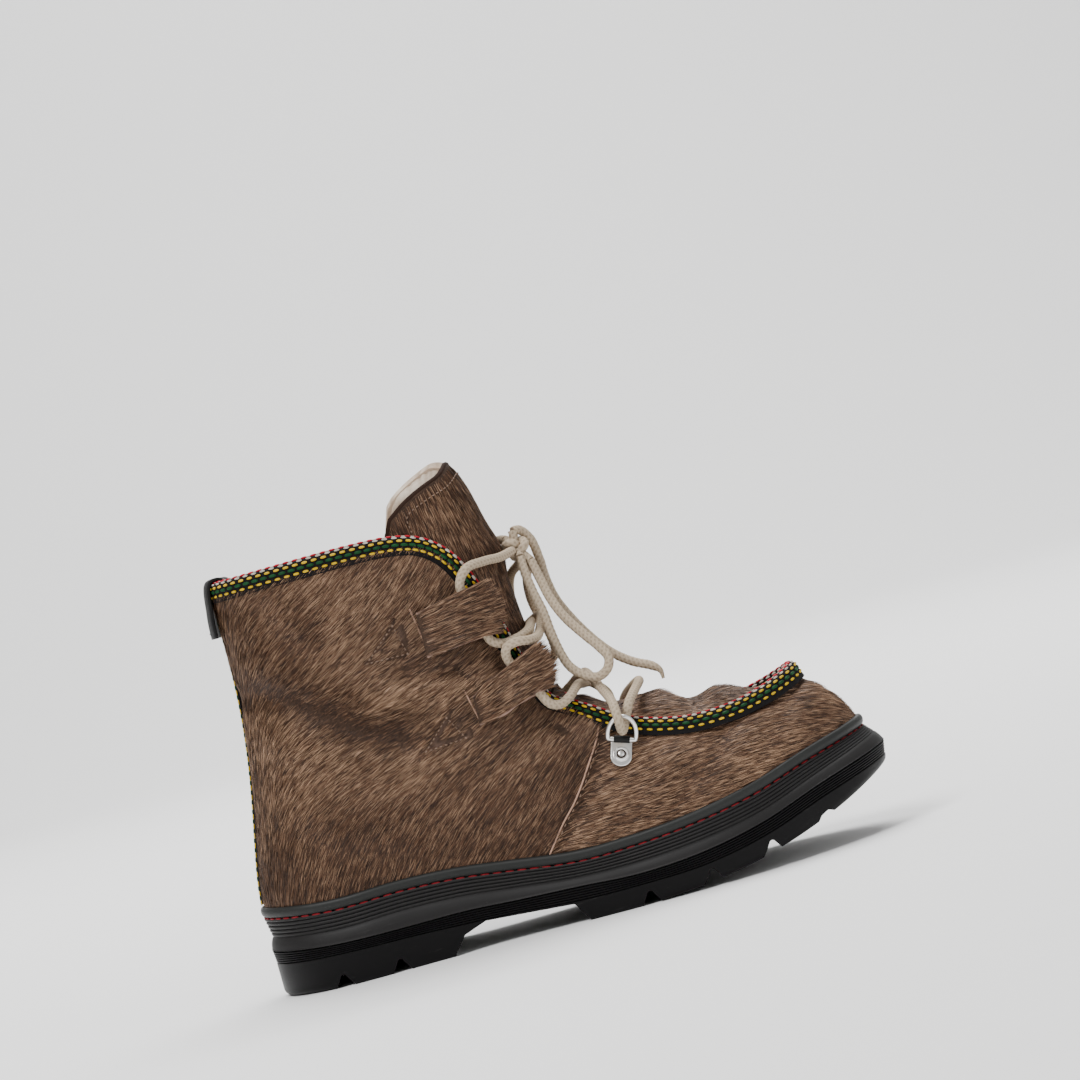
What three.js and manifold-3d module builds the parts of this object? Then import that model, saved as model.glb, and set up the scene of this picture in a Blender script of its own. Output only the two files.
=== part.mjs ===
// Mukluk boot for the right foot: hair-on calf upper, woven edge binding, lugged rubber sole.
// Millimetres. +X runs from heel to toe, -Y is the outer (lateral) side, +Z is up.
import * as THREE from 'three';
import { mergeVertices } from 'three/addons/utils/BufferGeometryUtils.js';
import Module from 'manifold-3d';

const wasm = await Module();
wasm.setup();

// Driving dimensions of the last and the sole
const LENGTH = 280; // outsole, heel to toe
const BALL = 102; // outsole across the ball
const COLLAR_HEIGHT = 180; // top of the collar's binding over the floor
const STACK = 40; // top of the rand over the floor at the back of the heel
const SPRING = 27; // rise of the tread at the toe
const FLARE = 8; // how far the sole's lower edge stands out past the rand at the toe

// Walls, layers and trim
const WALL = 3; // calf and its backing
const GAP = 0.3; // between pieces that meet
const OVERLAP = 1; // step where the quarter lies on the vamp
const WELT_HEIGHT = 4.8; // rand bead over its stitch groove
const WELT_WIDTH = 3; // rand bead outside the upper
const RIB_DEPTH = 0.8; // grooves of the ribbed bands
const UPPER_RIBS = 3;
const LOWER_RIBS = 3;
const INSOLE = 4; // footbed
const BINDING_WIDTH = 5.6; // woven edge tape, folded, across the wall
const BINDING_HEIGHT = 6.8; // the same tape, from the wall's rim to its crest
const LEAF = 3; // apron and tongue, leather and backing
const STRIP_WIDTH = 9; // tape on the back seam
const STRIP = 1.3; // its thickness

// Lugs of the tread
const NOTCH_DEPTH = 5.5;
const NOTCH_MOUTH = 9;
const NOTCH_ROOT = 3;
const CHANNEL_WIDTH = 9; // channel along the middle of the tread
const CHANNEL_DEPTH = 3.5;

// Colours of the real pieces
const HAIR = 0x5b4638;
const RUBBER = 0x1d1c1c;

// Plan of the sole's widest edge: at is a share of LENGTH, widths are shares of BALL.
const PLAN = [
  { at: 0, lateral: 0, medial: 0 },
  { at: 0.03, lateral: 0.205, medial: 0.205 },
  { at: 0.08, lateral: 0.31, medial: 0.31 },
  { at: 0.15, lateral: 0.355, medial: 0.355 },
  { at: 0.25, lateral: 0.362, medial: 0.355 },
  { at: 0.35, lateral: 0.378, medial: 0.333 },
  { at: 0.45, lateral: 0.412, medial: 0.325 },
  { at: 0.55, lateral: 0.457, medial: 0.368 },
  { at: 0.65, lateral: 0.493, medial: 0.44 },
  { at: 0.73, lateral: 0.497, medial: 0.485 },
  { at: 0.8, lateral: 0.465, medial: 0.488 },
  { at: 0.88, lateral: 0.375, medial: 0.435 },
  { at: 0.94, lateral: 0.258, medial: 0.34 },
  { at: 0.98, lateral: 0.125, medial: 0.212 },
  { at: 1, lateral: -0.04, medial: 0.04 },
];

// Heights of the sole's side, shares of STACK: top of the rand, top and foot of the smooth
// ledge, and the line where the ribs end and the lugs begin.
const LEVELS = [
  { at: 0, rand: 1, ledge: 0.66, foot: 0.515, lug: 0.383 },
  { at: 0.12, rand: 0.935, ledge: 0.61, foot: 0.46, lug: 0.355 },
  { at: 0.22, rand: 0.942, ledge: 0.622, foot: 0.445, lug: 0.338 },
  { at: 0.31, rand: 0.91, ledge: 0.6, foot: 0.44, lug: 0.31 },
  { at: 0.39, rand: 0.838, ledge: 0.542, foot: 0.407, lug: 0.28 },
  { at: 0.49, rand: 0.75, ledge: 0.478, foot: 0.375, lug: 0.233 },
  { at: 0.58, rand: 0.757, ledge: 0.47, foot: 0.345, lug: 0.232 },
  { at: 0.68, rand: 0.82, ledge: 0.52, foot: 0.392, lug: 0.262 },
  { at: 0.78, rand: 0.938, ledge: 0.63, foot: 0.522, lug: 0.385 },
  { at: 0.88, rand: 1.107, ledge: 0.825, foot: 0.725, lug: 0.585 },
  { at: 1, rand: 1.245, ledge: 1.03, foot: 0.91, lug: 0.775 },
];

// Set-back of the sole's side from its widest edge, shares of FLARE, from the rand down.
const SETBACK = {
  rand: { heel: 0.02, side: 0.32, toe: 0.84 },
  ledge: { heel: 0.22, side: 0.27, toe: 0.4 },
  foot: { heel: 0, side: 0, toe: 0 },
  lug: { heel: 0.05, side: 0.1, toe: 0.12 },
  sole: { heel: 0.5, side: 0.32, toe: 0.5 },
};

// The upper's edge and the walls that rise to it. at is the place on the sole's plan that a
// section starts from. x is a share of LENGTH and z of COLLAR_HEIGHT, lateral and medial are shares
// of BALL. The last five shape the section: how far its foot stands out and rises before it
// turns, and how far its top comes from outside, from below and from behind.
const EDGE = [
  { at: 0, x: 0.064, lateral: 0, medial: 0, z: 0.961,
    footOut: -0.005, footUp: 0.22, topOut: -0.042, topDown: 0.53, topBack: 0 },
  { at: 0.03, x: 0.067, lateral: 0.131, medial: 0.131, z: 0.961,
    footOut: 0, footUp: 0.24, topOut: -0.03, topDown: 0.5, topBack: 0 },
  { at: 0.09, x: 0.102, lateral: 0.262, medial: 0.262, z: 0.96,
    footOut: 0.01, footUp: 0.27, topOut: -0.012, topDown: 0.45, topBack: 0 },
  { at: 0.15, x: 0.158, lateral: 0.336, medial: 0.336, z: 0.96,
    footOut: 0.02, footUp: 0.3, topOut: -0.005, topDown: 0.4, topBack: 0 },
  { at: 0.22, x: 0.222, lateral: 0.368, medial: 0.368, z: 0.96,
    footOut: 0.025, footUp: 0.3, topOut: 0, topDown: 0.38, topBack: 0 },
  { at: 0.29, x: 0.284, lateral: 0.37, medial: 0.37, z: 0.959,
    footOut: 0.022, footUp: 0.32, topOut: 0.006, topDown: 0.36, topBack: 0 },
  { at: 0.36, x: 0.346, lateral: 0.347, medial: 0.347, z: 0.953,
    footOut: 0.018, footUp: 0.34, topOut: 0.014, topDown: 0.36, topBack: 0.008 },
  { at: 0.415, x: 0.389, lateral: 0.321, medial: 0.321, z: 0.934,
    footOut: 0.016, footUp: 0.38, topOut: 0.02, topDown: 0.33, topBack: 0.02 },
  { at: 0.455, x: 0.42, lateral: 0.301, medial: 0.301, z: 0.888,
    footOut: 0.014, footUp: 0.42, topOut: 0.024, topDown: 0.26, topBack: 0.045 },
  { at: 0.485, x: 0.441, lateral: 0.29, medial: 0.29, z: 0.815,
    footOut: 0.014, footUp: 0.45, topOut: 0.03, topDown: 0.17, topBack: 0.06 },
  { at: 0.51, x: 0.459, lateral: 0.283, medial: 0.283, z: 0.72,
    footOut: 0.014, footUp: 0.48, topOut: 0.038, topDown: 0.13, topBack: 0.058 },
  { at: 0.535, x: 0.478, lateral: 0.279, medial: 0.279, z: 0.615,
    footOut: 0.015, footUp: 0.5, topOut: 0.05, topDown: 0.12, topBack: 0.045 },
  { at: 0.56, x: 0.505, lateral: 0.278, medial: 0.278, z: 0.515,
    footOut: 0.016, footUp: 0.5, topOut: 0.066, topDown: 0.13, topBack: 0.024 },
  { at: 0.59, x: 0.54, lateral: 0.286, medial: 0.288, z: 0.474,
    footOut: 0.018, footUp: 0.48, topOut: 0.08, topDown: 0.14, topBack: 0.008 },
  { at: 0.65, x: 0.613, lateral: 0.3, medial: 0.31, z: 0.398,
    footOut: 0.018, footUp: 0.45, topOut: 0.088, topDown: 0.15, topBack: 0 },
  { at: 0.72, x: 0.698, lateral: 0.304, medial: 0.319, z: 0.358,
    footOut: 0.016, footUp: 0.45, topOut: 0.088, topDown: 0.16, topBack: 0 },
  { at: 0.8, x: 0.775, lateral: 0.279, medial: 0.3, z: 0.354,
    footOut: 0.014, footUp: 0.44, topOut: 0.082, topDown: 0.17, topBack: 0 },
  { at: 0.88, x: 0.84, lateral: 0.2, medial: 0.234, z: 0.37,
    footOut: 0.01, footUp: 0.42, topOut: 0.076, topDown: 0.18, topBack: 0 },
  { at: 0.95, x: 0.885, lateral: 0.095, medial: 0.137, z: 0.392,
    footOut: 0.006, footUp: 0.38, topOut: 0.07, topDown: 0.18, topBack: 0 },
  { at: 1, x: 0.9, lateral: -0.025, medial: 0.025, z: 0.403,
    footOut: 0.004, footUp: 0.34, topOut: 0.068, topDown: 0.18, topBack: 0 },
];

// The seam down each side where the quarter ends on the vamp: x of LENGTH, z of COLLAR_HEIGHT.
const SIDE_SEAM = [
  { x: 0.6, z: 0.52 },
  { x: 0.574, z: 0.412 },
  { x: 0.553, z: 0.36 },
  { x: 0.515, z: 0.278 },
  { x: 0.486, z: 0.23 },
  { x: 0.43, z: 0.12 },
];

// Underside of the waist between heel and forefoot: x of LENGTH, z of STACK.
const WAIST = [
  { x: 0.276, z: -0.1 },
  { x: 0.278, z: 0.01 },
  { x: 0.3, z: 0.2 },
  { x: 0.336, z: 0.285 },
  { x: 0.4, z: 0.25 },
  { x: 0.472, z: 0.212 },
  { x: 0.49, z: 0.01 },
  { x: 0.491, z: -0.1 },
];

// Notches between the lugs: at is a share of LENGTH, depth of NOTCH_DEPTH.
const NOTCHES = [
  { at: 0.105, depth: 1 },
  { at: 0.195, depth: 1 },
  { at: 0.586, depth: 1 },
  { at: 0.685, depth: 1 },
  { at: 0.783, depth: 0.95 },
  { at: 0.879, depth: 0.5 },
];

// Crown of the apron over its edges, along the boot: x of LENGTH, rise of COLLAR_HEIGHT. Lean is how
// much of the rise points forward where the apron turns up to the tongue.
const CROWN = [
  { x: 0.54, rise: 0.035, lean: 0.6 },
  { x: 0.58, rise: 0.035, lean: 0.3 },
  { x: 0.63, rise: 0.064, lean: 0.1 },
  { x: 0.675, rise: 0.085, lean: 0 },
  { x: 0.7, rise: 0.072, lean: 0 },
  { x: 0.73, rise: 0.055, lean: 0 },
  { x: 0.755, rise: 0.053, lean: 0 },
  { x: 0.81, rise: 0.036, lean: 0 },
  { x: 0.87, rise: 0.016, lean: 0 },
  { x: 0.9, rise: 0.003, lean: 0 },
];

// Tongue, a section for each row from the apron up: the middle of its front and the ends of
// its wings. x of LENGTH, z of COLLAR_HEIGHT, half of BALL. Bow is how fast a section falls away
// from its front to its wings: small is a top that stays high.
const TONGUE_ROWS = [
  { front: 0.535, frontZ: 0.56, wing: 0.496, wingZ: 0.515, half: 0.212, bow: 1.2 },
  { front: 0.527, frontZ: 0.605, wing: 0.458, wingZ: 0.55, half: 0.224, bow: 1.1 },
  { front: 0.516, frontZ: 0.66, wing: 0.425, wingZ: 0.61, half: 0.235, bow: 1 },
  { front: 0.51, frontZ: 0.74, wing: 0.392, wingZ: 0.69, half: 0.247, bow: 0.9 },
  { front: 0.507, frontZ: 0.83, wing: 0.366, wingZ: 0.78, half: 0.257, bow: 0.8 },
  { front: 0.507, frontZ: 0.905, wing: 0.35, wingZ: 0.86, half: 0.265, bow: 0.7 },
  { front: 0.498, frontZ: 0.97, wing: 0.343, wingZ: 0.92, half: 0.268, bow: 0.6 },
  { front: 0.486, frontZ: 1.04, wing: 0.341, wingZ: 0.965, half: 0.266, bow: 0.45 },
  { front: 0.464, frontZ: 1.127, wing: 0.34, wingZ: 0.99, half: 0.262, bow: 0.35 },
];

// Seam between apron and tongue, seen from the side: x of LENGTH, z of COLLAR_HEIGHT.
const INSTEP_SEAM = [{ x: 0.515, z: 0.4 }, { x: 0.547, z: 0.62 }];

// Lace straps on each quarter: x of LENGTH at the slit and at the fold, z of COLLAR_HEIGHT. Pulled is
// how far the lace holds the fold off the quarter, a share of its own thickness.
const STRAPS = [
  { name: 'upper', slit: 0.357, slitTop: 0.803, slitLow: 0.694, fold: 0.462, foldTop: 0.832, foldLow: 0.703,
    pulled: 0.15 },
  { name: 'lower', slit: 0.408, slitTop: 0.578, slitLow: 0.508, fold: 0.502, foldTop: 0.649, foldLow: 0.53,
    pulled: 1.1 },
];
const STRAP = 1.6; // strap leather
const STRAP_LIFT = 1.3; // strap over the quarter, so that it passes over the edge binding
const LACE = 4.1; // cord diameter

// Course of a strap from its slit out, round its fold and back: run is the share of its
// length, open the share of the room that the lace needs.
const STRAP_COURSE = [
  { run: 0, open: 0.32 }, { run: 0.25, open: 0.6 }, { run: 0.5, open: 0.93 }, { run: 0.72, open: 1 },
  { run: 0.9, open: 0.94 }, { run: 0.98, open: 0.74 }, { run: 1, open: 0.45 }, { run: 0.97, open: 0.15 },
  { run: 0.9, open: 0 }, { run: 0.75, open: 0 }, { run: 0.6, open: 0 }, { run: 0.45, open: 0 },
  { run: 0.3, open: 0 }, { run: 0.06, open: 0 },
];

// Ring and its plate on each side of the vamp: x of LENGTH, z of COLLAR_HEIGHT.
const RING = { x: 0.6, z: 0.35, ahead: 0.33, out: 0.25, width: 14, height: 12, wire: 1.9 };
const PLATE = { width: 9, height: 11, thickness: 1.4 };
const RIVET = { radius: 3.4, bore: 1.5, height: 1.3 };

// Pull tab folded over the back of the collar: out over the upper's form, high over its rim.
const TAB_WIDTH = 30;
const TAB = 1.5;
const TAB_COURSE = [
  { out: -6.4, high: -9 }, { out: -6.4, high: 5.2 }, { out: -4.8, high: 8.5 }, { out: -1.5, high: 9.4 },
  { out: 1.8, high: 8.5 }, { out: 3.5, high: 4.8 }, { out: 4.6, high: -3 }, { out: 5.4, high: -10 },
  { out: 5.6, high: -16 },
];

// Smooth curve through knots, cubic between them. A closed curve repeats after its period.
function through(knots, values, period = 0) {
  const count = knots.length;
  const knot = (i) => (period
    ? knots[((i % count) + count) % count] + period * Math.floor(i / count)
    : knots[Math.min(Math.max(i, 0), count - 1)]);
  const value = (i) => (period
    ? values[((i % count) + count) % count]
    : values[Math.min(Math.max(i, 0), count - 1)]);
  const slope = (i) => (value(i + 1) - value(i - 1)) / (knot(i + 1) - knot(i - 1));
  return (where) => {
    let place = period ? ((where % period) + period) % period : where;
    if (!period) place = Math.min(Math.max(place, knots[0]), knots[count - 1]);
    let i = 0;
    const last = period ? count - 1 : count - 2;
    while (i < last && knot(i + 1) <= place) i += 1;
    const span = knot(i + 1) - knot(i);
    const t = (place - knot(i)) / span;
    const t2 = t * t;
    const t3 = t2 * t;
    return value(i) * (2 * t3 - 3 * t2 + 1) + slope(i) * span * (t3 - 2 * t2 + t)
      + value(i + 1) * (3 * t2 - 2 * t3) + slope(i + 1) * span * (t3 - t2);
  };
}

// A column of a table along the boot.
const along = (rows, key, share) => through(rows.map((row) => row[key]), rows.map((row) => row[share]));

// The turn round the boot that a share of its length stands for: 0 heel, PI toe, then back.
const turnOf = (at) => Math.acos(1 - 2 * at);
const shareOf = (turn) => (1 - Math.cos(turn)) / 2;

// A column of a table round the boot, lateral side first and then the medial side.
function around(rows, lateral, medial = lateral, flip = 1) {
  const inner = rows.slice(1, -1).reverse();
  const knots = [...rows.map((row) => turnOf(row.at)), ...inner.map((row) => 2 * Math.PI - turnOf(row.at))];
  const values = [...rows.map((row) => flip * row[lateral]), ...inner.map((row) => row[medial])];
  return through(knots, values, 2 * Math.PI);
}

// Stations on one side, closer together round heel, toe and throat.
const HALF_TURNS = 22;
const THROAT = { from: 0.38, to: 0.72 };
function stations() {
  const turns = [];
  for (let i = 0; i < HALF_TURNS; i += 1) {
    const turn = (Math.PI * i) / HALF_TURNS;
    const next = (Math.PI * (i + 1)) / HALF_TURNS;
    turns.push(turn);
    const middle = (turn + next) / 2;
    if (shareOf(middle) > THROAT.from && shareOf(middle) < THROAT.to) turns.push(middle);
  }
  const side = [...turns, Math.PI];
  const back = side.slice(1, -1).reverse().map((turn) => 2 * Math.PI - turn);
  return [...side, ...back];
}
const TURNS = stations();
const COUNT = TURNS.length;
const TOE = COUNT / 2;

// Plan of the sole and its outward direction
const planY = around(PLAN, 'lateral', 'medial', -1);
function planPoint(turn, inset = 0) {
  const step = 0.01;
  const at = (where) => new THREE.Vector2(LENGTH * shareOf(where), BALL * planY(where));
  const tangent = at(turn + step).sub(at(turn - step)).normalize();
  const outward = new THREE.Vector2(tangent.y, -tangent.x);
  return { place: at(turn).addScaledVector(outward, -inset), outward };
}

// Heights and set-backs of the sole's side
const level = {};
for (const name of ['rand', 'ledge', 'foot', 'lug']) {
  const share = along(LEVELS, 'at', name);
  level[name] = (at) => STACK * share(at);
}
const groove = (at) => level.rand(at) - WELT_HEIGHT;
const SPRING_START = 0.55;
const tread = (at) => SPRING * (Math.max(at - SPRING_START, 0) / (1 - SPRING_START)) ** 2;
function setback(name, at) {
  const row = SETBACK[name];
  const heel = 1 - THREE.MathUtils.smoothstep(at, 0.02, 0.22);
  const toe = THREE.MathUtils.smoothstep(at, 0.72, 1);
  return FLARE * (row.heel * heel + row.toe * toe + row.side * (1 - heel - toe));
}
const feather = (at) => setback('rand', at) + WELT_WIDTH;

// One ring of points round the boot
function ring(inset, height) {
  return TURNS.map((turn) => {
    const at = shareOf(turn);
    const { place } = planPoint(turn, inset(at));
    return new THREE.Vector3(place.x, place.y, height(at));
  });
}

// Collects triangles of a closed body and makes its geometry.
class Body {
  constructor() {
    this.positions = [];
  }

  triangle(a, b, c) {
    const area = new THREE.Triangle(a, b, c).getArea();
    if (area < 1e-9) return;
    for (const point of [a, b, c]) this.positions.push(point.x, point.y, point.z);
  }

  quad(a, b, c, d) {
    this.triangle(a, b, c);
    this.triangle(a, c, d);
  }

  // Side wall between two closed rings, the lower one first
  band(lower, upper) {
    lower.forEach((point, i) => {
      const next = (i + 1) % lower.length;
      this.quad(point, lower[next], upper[next], upper[i]);
    });
  }

  // Surface across a ring, from each lateral point to the medial point beside it
  across(points, up) {
    const last = points.length / 2;
    for (let i = 0; i < last; i += 1) {
      const far = points[(points.length - i) % points.length];
      const farNext = points[points.length - i - 1];
      if (up) this.quad(points[i], points[i + 1], farNext, far);
      else this.quad(far, farNext, points[i + 1], points[i]);
    }
  }

  geometry() {
    const raw = new THREE.BufferGeometry();
    raw.setAttribute('position', new THREE.Float32BufferAttribute(this.positions, 3));
    return mergeVertices(raw, 1e-3);
  }
}

// A solid of stacked rings, closed across its lowest and highest ring
function stack(rings) {
  const body = new Body();
  body.across(rings[0], false);
  for (let i = 1; i < rings.length; i += 1) body.band(rings[i - 1], rings[i]);
  body.across(rings[rings.length - 1], true);
  return body.geometry();
}

// A sheet of even thickness behind a grid of points; its rows may be closed loops.
function sheet(grid, thickness, { closed = false, outside = 1 } = {}) {
  const rows = grid.length;
  const columns = grid[0].length;
  const wrap = (j) => (closed ? (j + columns) % columns : Math.min(Math.max(j, 0), columns - 1));
  const back = grid.map((row, i) => row.map((point, j) => {
    const lower = grid[Math.max(i - 1, 0)][j];
    const upper = grid[Math.min(i + 1, rows - 1)][j];
    const side = new THREE.Vector3().subVectors(row[wrap(j + 1)], row[wrap(j - 1)]);
    const normal = side.cross(new THREE.Vector3().subVectors(upper, lower)).normalize();
    return point.clone().addScaledVector(normal, -outside * thickness);
  }));
  const body = new Body();
  const face = (a, b, c, d) => (outside > 0 ? body.quad(a, b, c, d) : body.quad(d, c, b, a));
  const spans = closed ? columns : columns - 1;
  for (let i = 0; i < rows - 1; i += 1) {
    for (let j = 0; j < spans; j += 1) {
      const k = wrap(j + 1);
      face(grid[i][j], grid[i][k], grid[i + 1][k], grid[i + 1][j]);
      face(back[i][k], back[i][j], back[i + 1][j], back[i + 1][k]);
    }
    if (!closed) {
      face(back[i][0], grid[i][0], grid[i + 1][0], back[i + 1][0]);
      face(grid[i][spans], back[i][spans], back[i + 1][spans], grid[i + 1][spans]);
    }
  }
  for (let j = 0; j < spans; j += 1) {
    const k = wrap(j + 1);
    face(back[0][j], back[0][k], grid[0][k], grid[0][j]);
    face(grid[rows - 1][j], grid[rows - 1][k], back[rows - 1][k], back[rows - 1][j]);
  }
  return body.geometry();
}

// Joining and cutting
function solidOf(geometry) {
  const bare = geometry.clone();
  bare.deleteAttribute('normal');
  bare.deleteAttribute('uv');
  const merged = mergeVertices(bare, 1e-4);
  return new wasm.Manifold(new wasm.Mesh({
    numProp: 3,
    vertProperties: new Float32Array(merged.attributes.position.array),
    triVerts: new Uint32Array(merged.index.array),
  }));
}

const FINEST = 0.02; // edges shorter than this are closed up
function geometryOf(solid) {
  const mesh = solid.setTolerance(FINEST).getMesh();
  const geometry = new THREE.BufferGeometry();
  geometry.setAttribute('position', new THREE.BufferAttribute(new Float32Array(mesh.vertProperties), 3));
  geometry.setIndex(new THREE.BufferAttribute(new Uint32Array(mesh.triVerts), 1));
  return geometry;
}

// A cutter seen from the side, as wide as asked across the boot
function crossCut(outline, width) {
  const shape = new THREE.Shape(outline.map(([x, z]) => new THREE.Vector2(x, z)));
  const geometry = new THREE.ExtrudeGeometry(shape, { depth: width, bevelEnabled: false });
  geometry.rotateX(Math.PI / 2);
  geometry.translate(0, width / 2, 0);
  return solidOf(geometry);
}

const group = new THREE.Group();
function add(name, geometry, color, roughness = 0.9, metalness = 0) {
  const mesh = new THREE.Mesh(geometry, new THREE.MeshStandardMaterial({ color, roughness, metalness }));
  mesh.name = name;
  group.add(mesh);
  return mesh;
}

// Rings of a ribbed band from one level down to another, with a groove between ribs
function ribs(count, fromInset, toInset, fromHeight, toHeight) {
  const rings = [];
  const steps = 2 * count;
  for (let k = 1; k < steps; k += 1) {
    const share = k / steps;
    const sunk = k % 2 ? RIB_DEPTH : 0;
    rings.push(ring(
      (at) => THREE.MathUtils.lerp(fromInset(at), toInset(at), share) + sunk,
      (at) => THREE.MathUtils.lerp(fromHeight(at), toHeight(at), share),
    ));
  }
  return rings;
}

const at = (name) => (share) => setback(name, share);

function outsole() {
  const roundedEdge = 3;
  const top = (share) => level.foot(share) - GAP;
  const rings = [
    ring(at('sole'), tread),
    ring(at('lug'), (share) => Math.min(tread(share) + roundedEdge, level.lug(share) - 1)),
    ring(at('lug'), level.lug),
    ...ribs(LOWER_RIBS, at('lug'), at('foot'), level.lug, top),
    ring(at('foot'), top),
  ];
  const across = 2 * BALL;
  let solid = solidOf(stack(rings));
  solid = solid.subtract(crossCut(WAIST.map((row) => [LENGTH * row.x, STACK * row.z]), across));
  for (const notch of NOTCHES) {
    const x = LENGTH * notch.at;
    const floor = tread(notch.at);
    const below = 2;
    const mouth = NOTCH_MOUTH / 2 + below;
    solid = solid.subtract(crossCut([
      [x - mouth, floor - 2 * below], [x + mouth, floor - 2 * below], [x + NOTCH_MOUTH / 2, floor],
      [x + NOTCH_ROOT / 2, floor + NOTCH_DEPTH * notch.depth],
      [x - NOTCH_ROOT / 2, floor + NOTCH_DEPTH * notch.depth], [x - NOTCH_MOUTH / 2, floor],
    ], across));
  }
  for (const span of [{ from: 0.06, to: 0.3 }, { from: 0.47, to: 0.9 }]) {
    const steps = 5;
    const roof = [];
    for (let k = 0; k <= steps; k += 1) {
      const share = THREE.MathUtils.lerp(span.to, span.from, k / steps);
      roof.push([LENGTH * share, tread(share) + CHANNEL_DEPTH]);
    }
    const floor = -CHANNEL_DEPTH;
    const outline = [[LENGTH * span.from, floor], [LENGTH * span.to, floor], ...roof];
    solid = solid.subtract(crossCut(outline, CHANNEL_WIDTH));
  }
  return geometryOf(solid);
}

function midsole() {
  return stack([
    ring(at('foot'), level.foot),
    ring(at('ledge'), level.ledge),
    ...ribs(UPPER_RIBS, at('ledge'), at('rand'), level.ledge, groove),
    ring(at('rand'), groove),
  ]);
}

// The upper's outer form: turn goes round the boot, rise from the feather line to the edge.
const edgeX = around(EDGE, 'x');
const edgeY = around(EDGE, 'lateral', 'medial', -1);
const edgeZ = around(EDGE, 'z');
const shape = {};
for (const key of ['footOut', 'footUp', 'topOut', 'topDown', 'topBack']) shape[key] = around(EDGE, key);

function upperPoint(turn, rise) {
  const share = shareOf(turn);
  const { place, outward } = planPoint(turn, feather(share));
  const foot = new THREE.Vector3(place.x, place.y, groove(share) + GAP);
  const top = new THREE.Vector3(LENGTH * edgeX(turn), BALL * edgeY(turn), COLLAR_HEIGHT * edgeZ(turn));
  const climb = top.z - foot.z;
  const out = new THREE.Vector3(outward.x, outward.y, 0);
  const low = foot.clone().addScaledVector(out, BALL * shape.footOut(turn));
  low.z += climb * shape.footUp(turn);
  const high = top.clone().addScaledVector(out, BALL * shape.topOut(turn));
  high.z -= climb * shape.topDown(turn);
  high.x -= LENGTH * shape.topBack(turn);
  return new THREE.CubicBezierCurve3(foot, low, high, top).getPoint(rise);
}

function upperNormal(turn, rise) {
  const step = 0.01;
  const inside = Math.min(Math.max(rise, step), 1 - step);
  const side = upperPoint(turn + step, inside).sub(upperPoint(turn - step, inside));
  return side.cross(upperPoint(turn, inside + step).sub(upperPoint(turn, inside - step))).normalize();
}

// A wall from deep inside the upper's outer form to out beyond it
const UPPER_ROWS = 8;
function upperWall(out, deep) {
  const outer = [];
  const inner = [];
  for (let i = 0; i <= UPPER_ROWS; i += 1) {
    const rise = i / UPPER_ROWS;
    outer.push(TURNS.map((turn) => upperPoint(turn, rise).addScaledVector(upperNormal(turn, rise), out)));
    inner.push(TURNS.map((turn) => upperPoint(turn, rise).addScaledVector(upperNormal(turn, rise), -deep)));
  }
  for (const grid of [outer, inner]) grid[0].forEach((point, j) => { point.z = groove(shareOf(TURNS[j])) + GAP; });
  const body = new Body();
  for (let i = 0; i < UPPER_ROWS; i += 1) {
    body.band(outer[i], outer[i + 1]);
    body.band(inner[i + 1], inner[i]);
  }
  body.band(outer[UPPER_ROWS], inner[UPPER_ROWS]);
  body.band(inner[0], outer[0]);
  return solidOf(body.geometry());
}

function upper() {
  const seam = SIDE_SEAM.map((row) => [LENGTH * row.x, COLLAR_HEIGHT * row.z]);
  const top = COLLAR_HEIGHT + STACK;
  const rear = crossCut([[seam[0][0], top], [-LENGTH, top], [-LENGTH, 0],
    [seam[seam.length - 1][0], 0], ...seam.slice().reverse()], 2 * BALL);
  const quarter = upperWall(OVERLAP, WALL / 2).intersect(rear);
  return geometryOf(upperWall(0, WALL).add(quarter));
}

function welt() {
  const clear = OVERLAP + GAP;
  const inner = (height) => TURNS.map((turn) => {
    const share = shareOf(turn);
    const from = upperPoint(turn, 0).z;
    const rise = height(share) - from;
    const climb = Math.max(COLLAR_HEIGHT * edgeZ(turn) - from, 1);
    const guess = rise / climb / (3 * shape.footUp(turn));
    return upperPoint(turn, guess).addScaledVector(upperNormal(turn, guess), clear).setZ(height(share));
  });
  const low = (share) => groove(share) + GAP;
  const belly = (share) => groove(share) + 0.55 * WELT_HEIGHT;
  const outer = (inset, height) => ring((share) => setback('rand', share) + inset, height);
  const loop = [outer(0.5, low), outer(-0.4, belly), outer(0.5, level.rand), inner(level.rand), inner(low)];
  const body = new Body();
  loop.forEach((lower, k) => body.band(lower, loop[(k + 1) % loop.length]));
  return body.geometry();
}

function insole() {
  const edge = (share) => feather(share) + WALL + 2 * GAP;
  const lean = 2.5;
  const bottom = (share) => groove(share) + GAP;
  const crown = (share) => bottom(share) + INSOLE;
  return stack([
    ring(edge, bottom),
    ring((share) => edge(share) + lean, crown),
  ]);
}

add('outsole', outsole(), RUBBER, 0.5);
add('midsole', midsole(), RUBBER, 0.6);
add('welt', welt(), RUBBER, 0.6);
add('insole', insole(), 0xa98f63, 0.8);
add('upper', upper(), HAIR);

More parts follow.
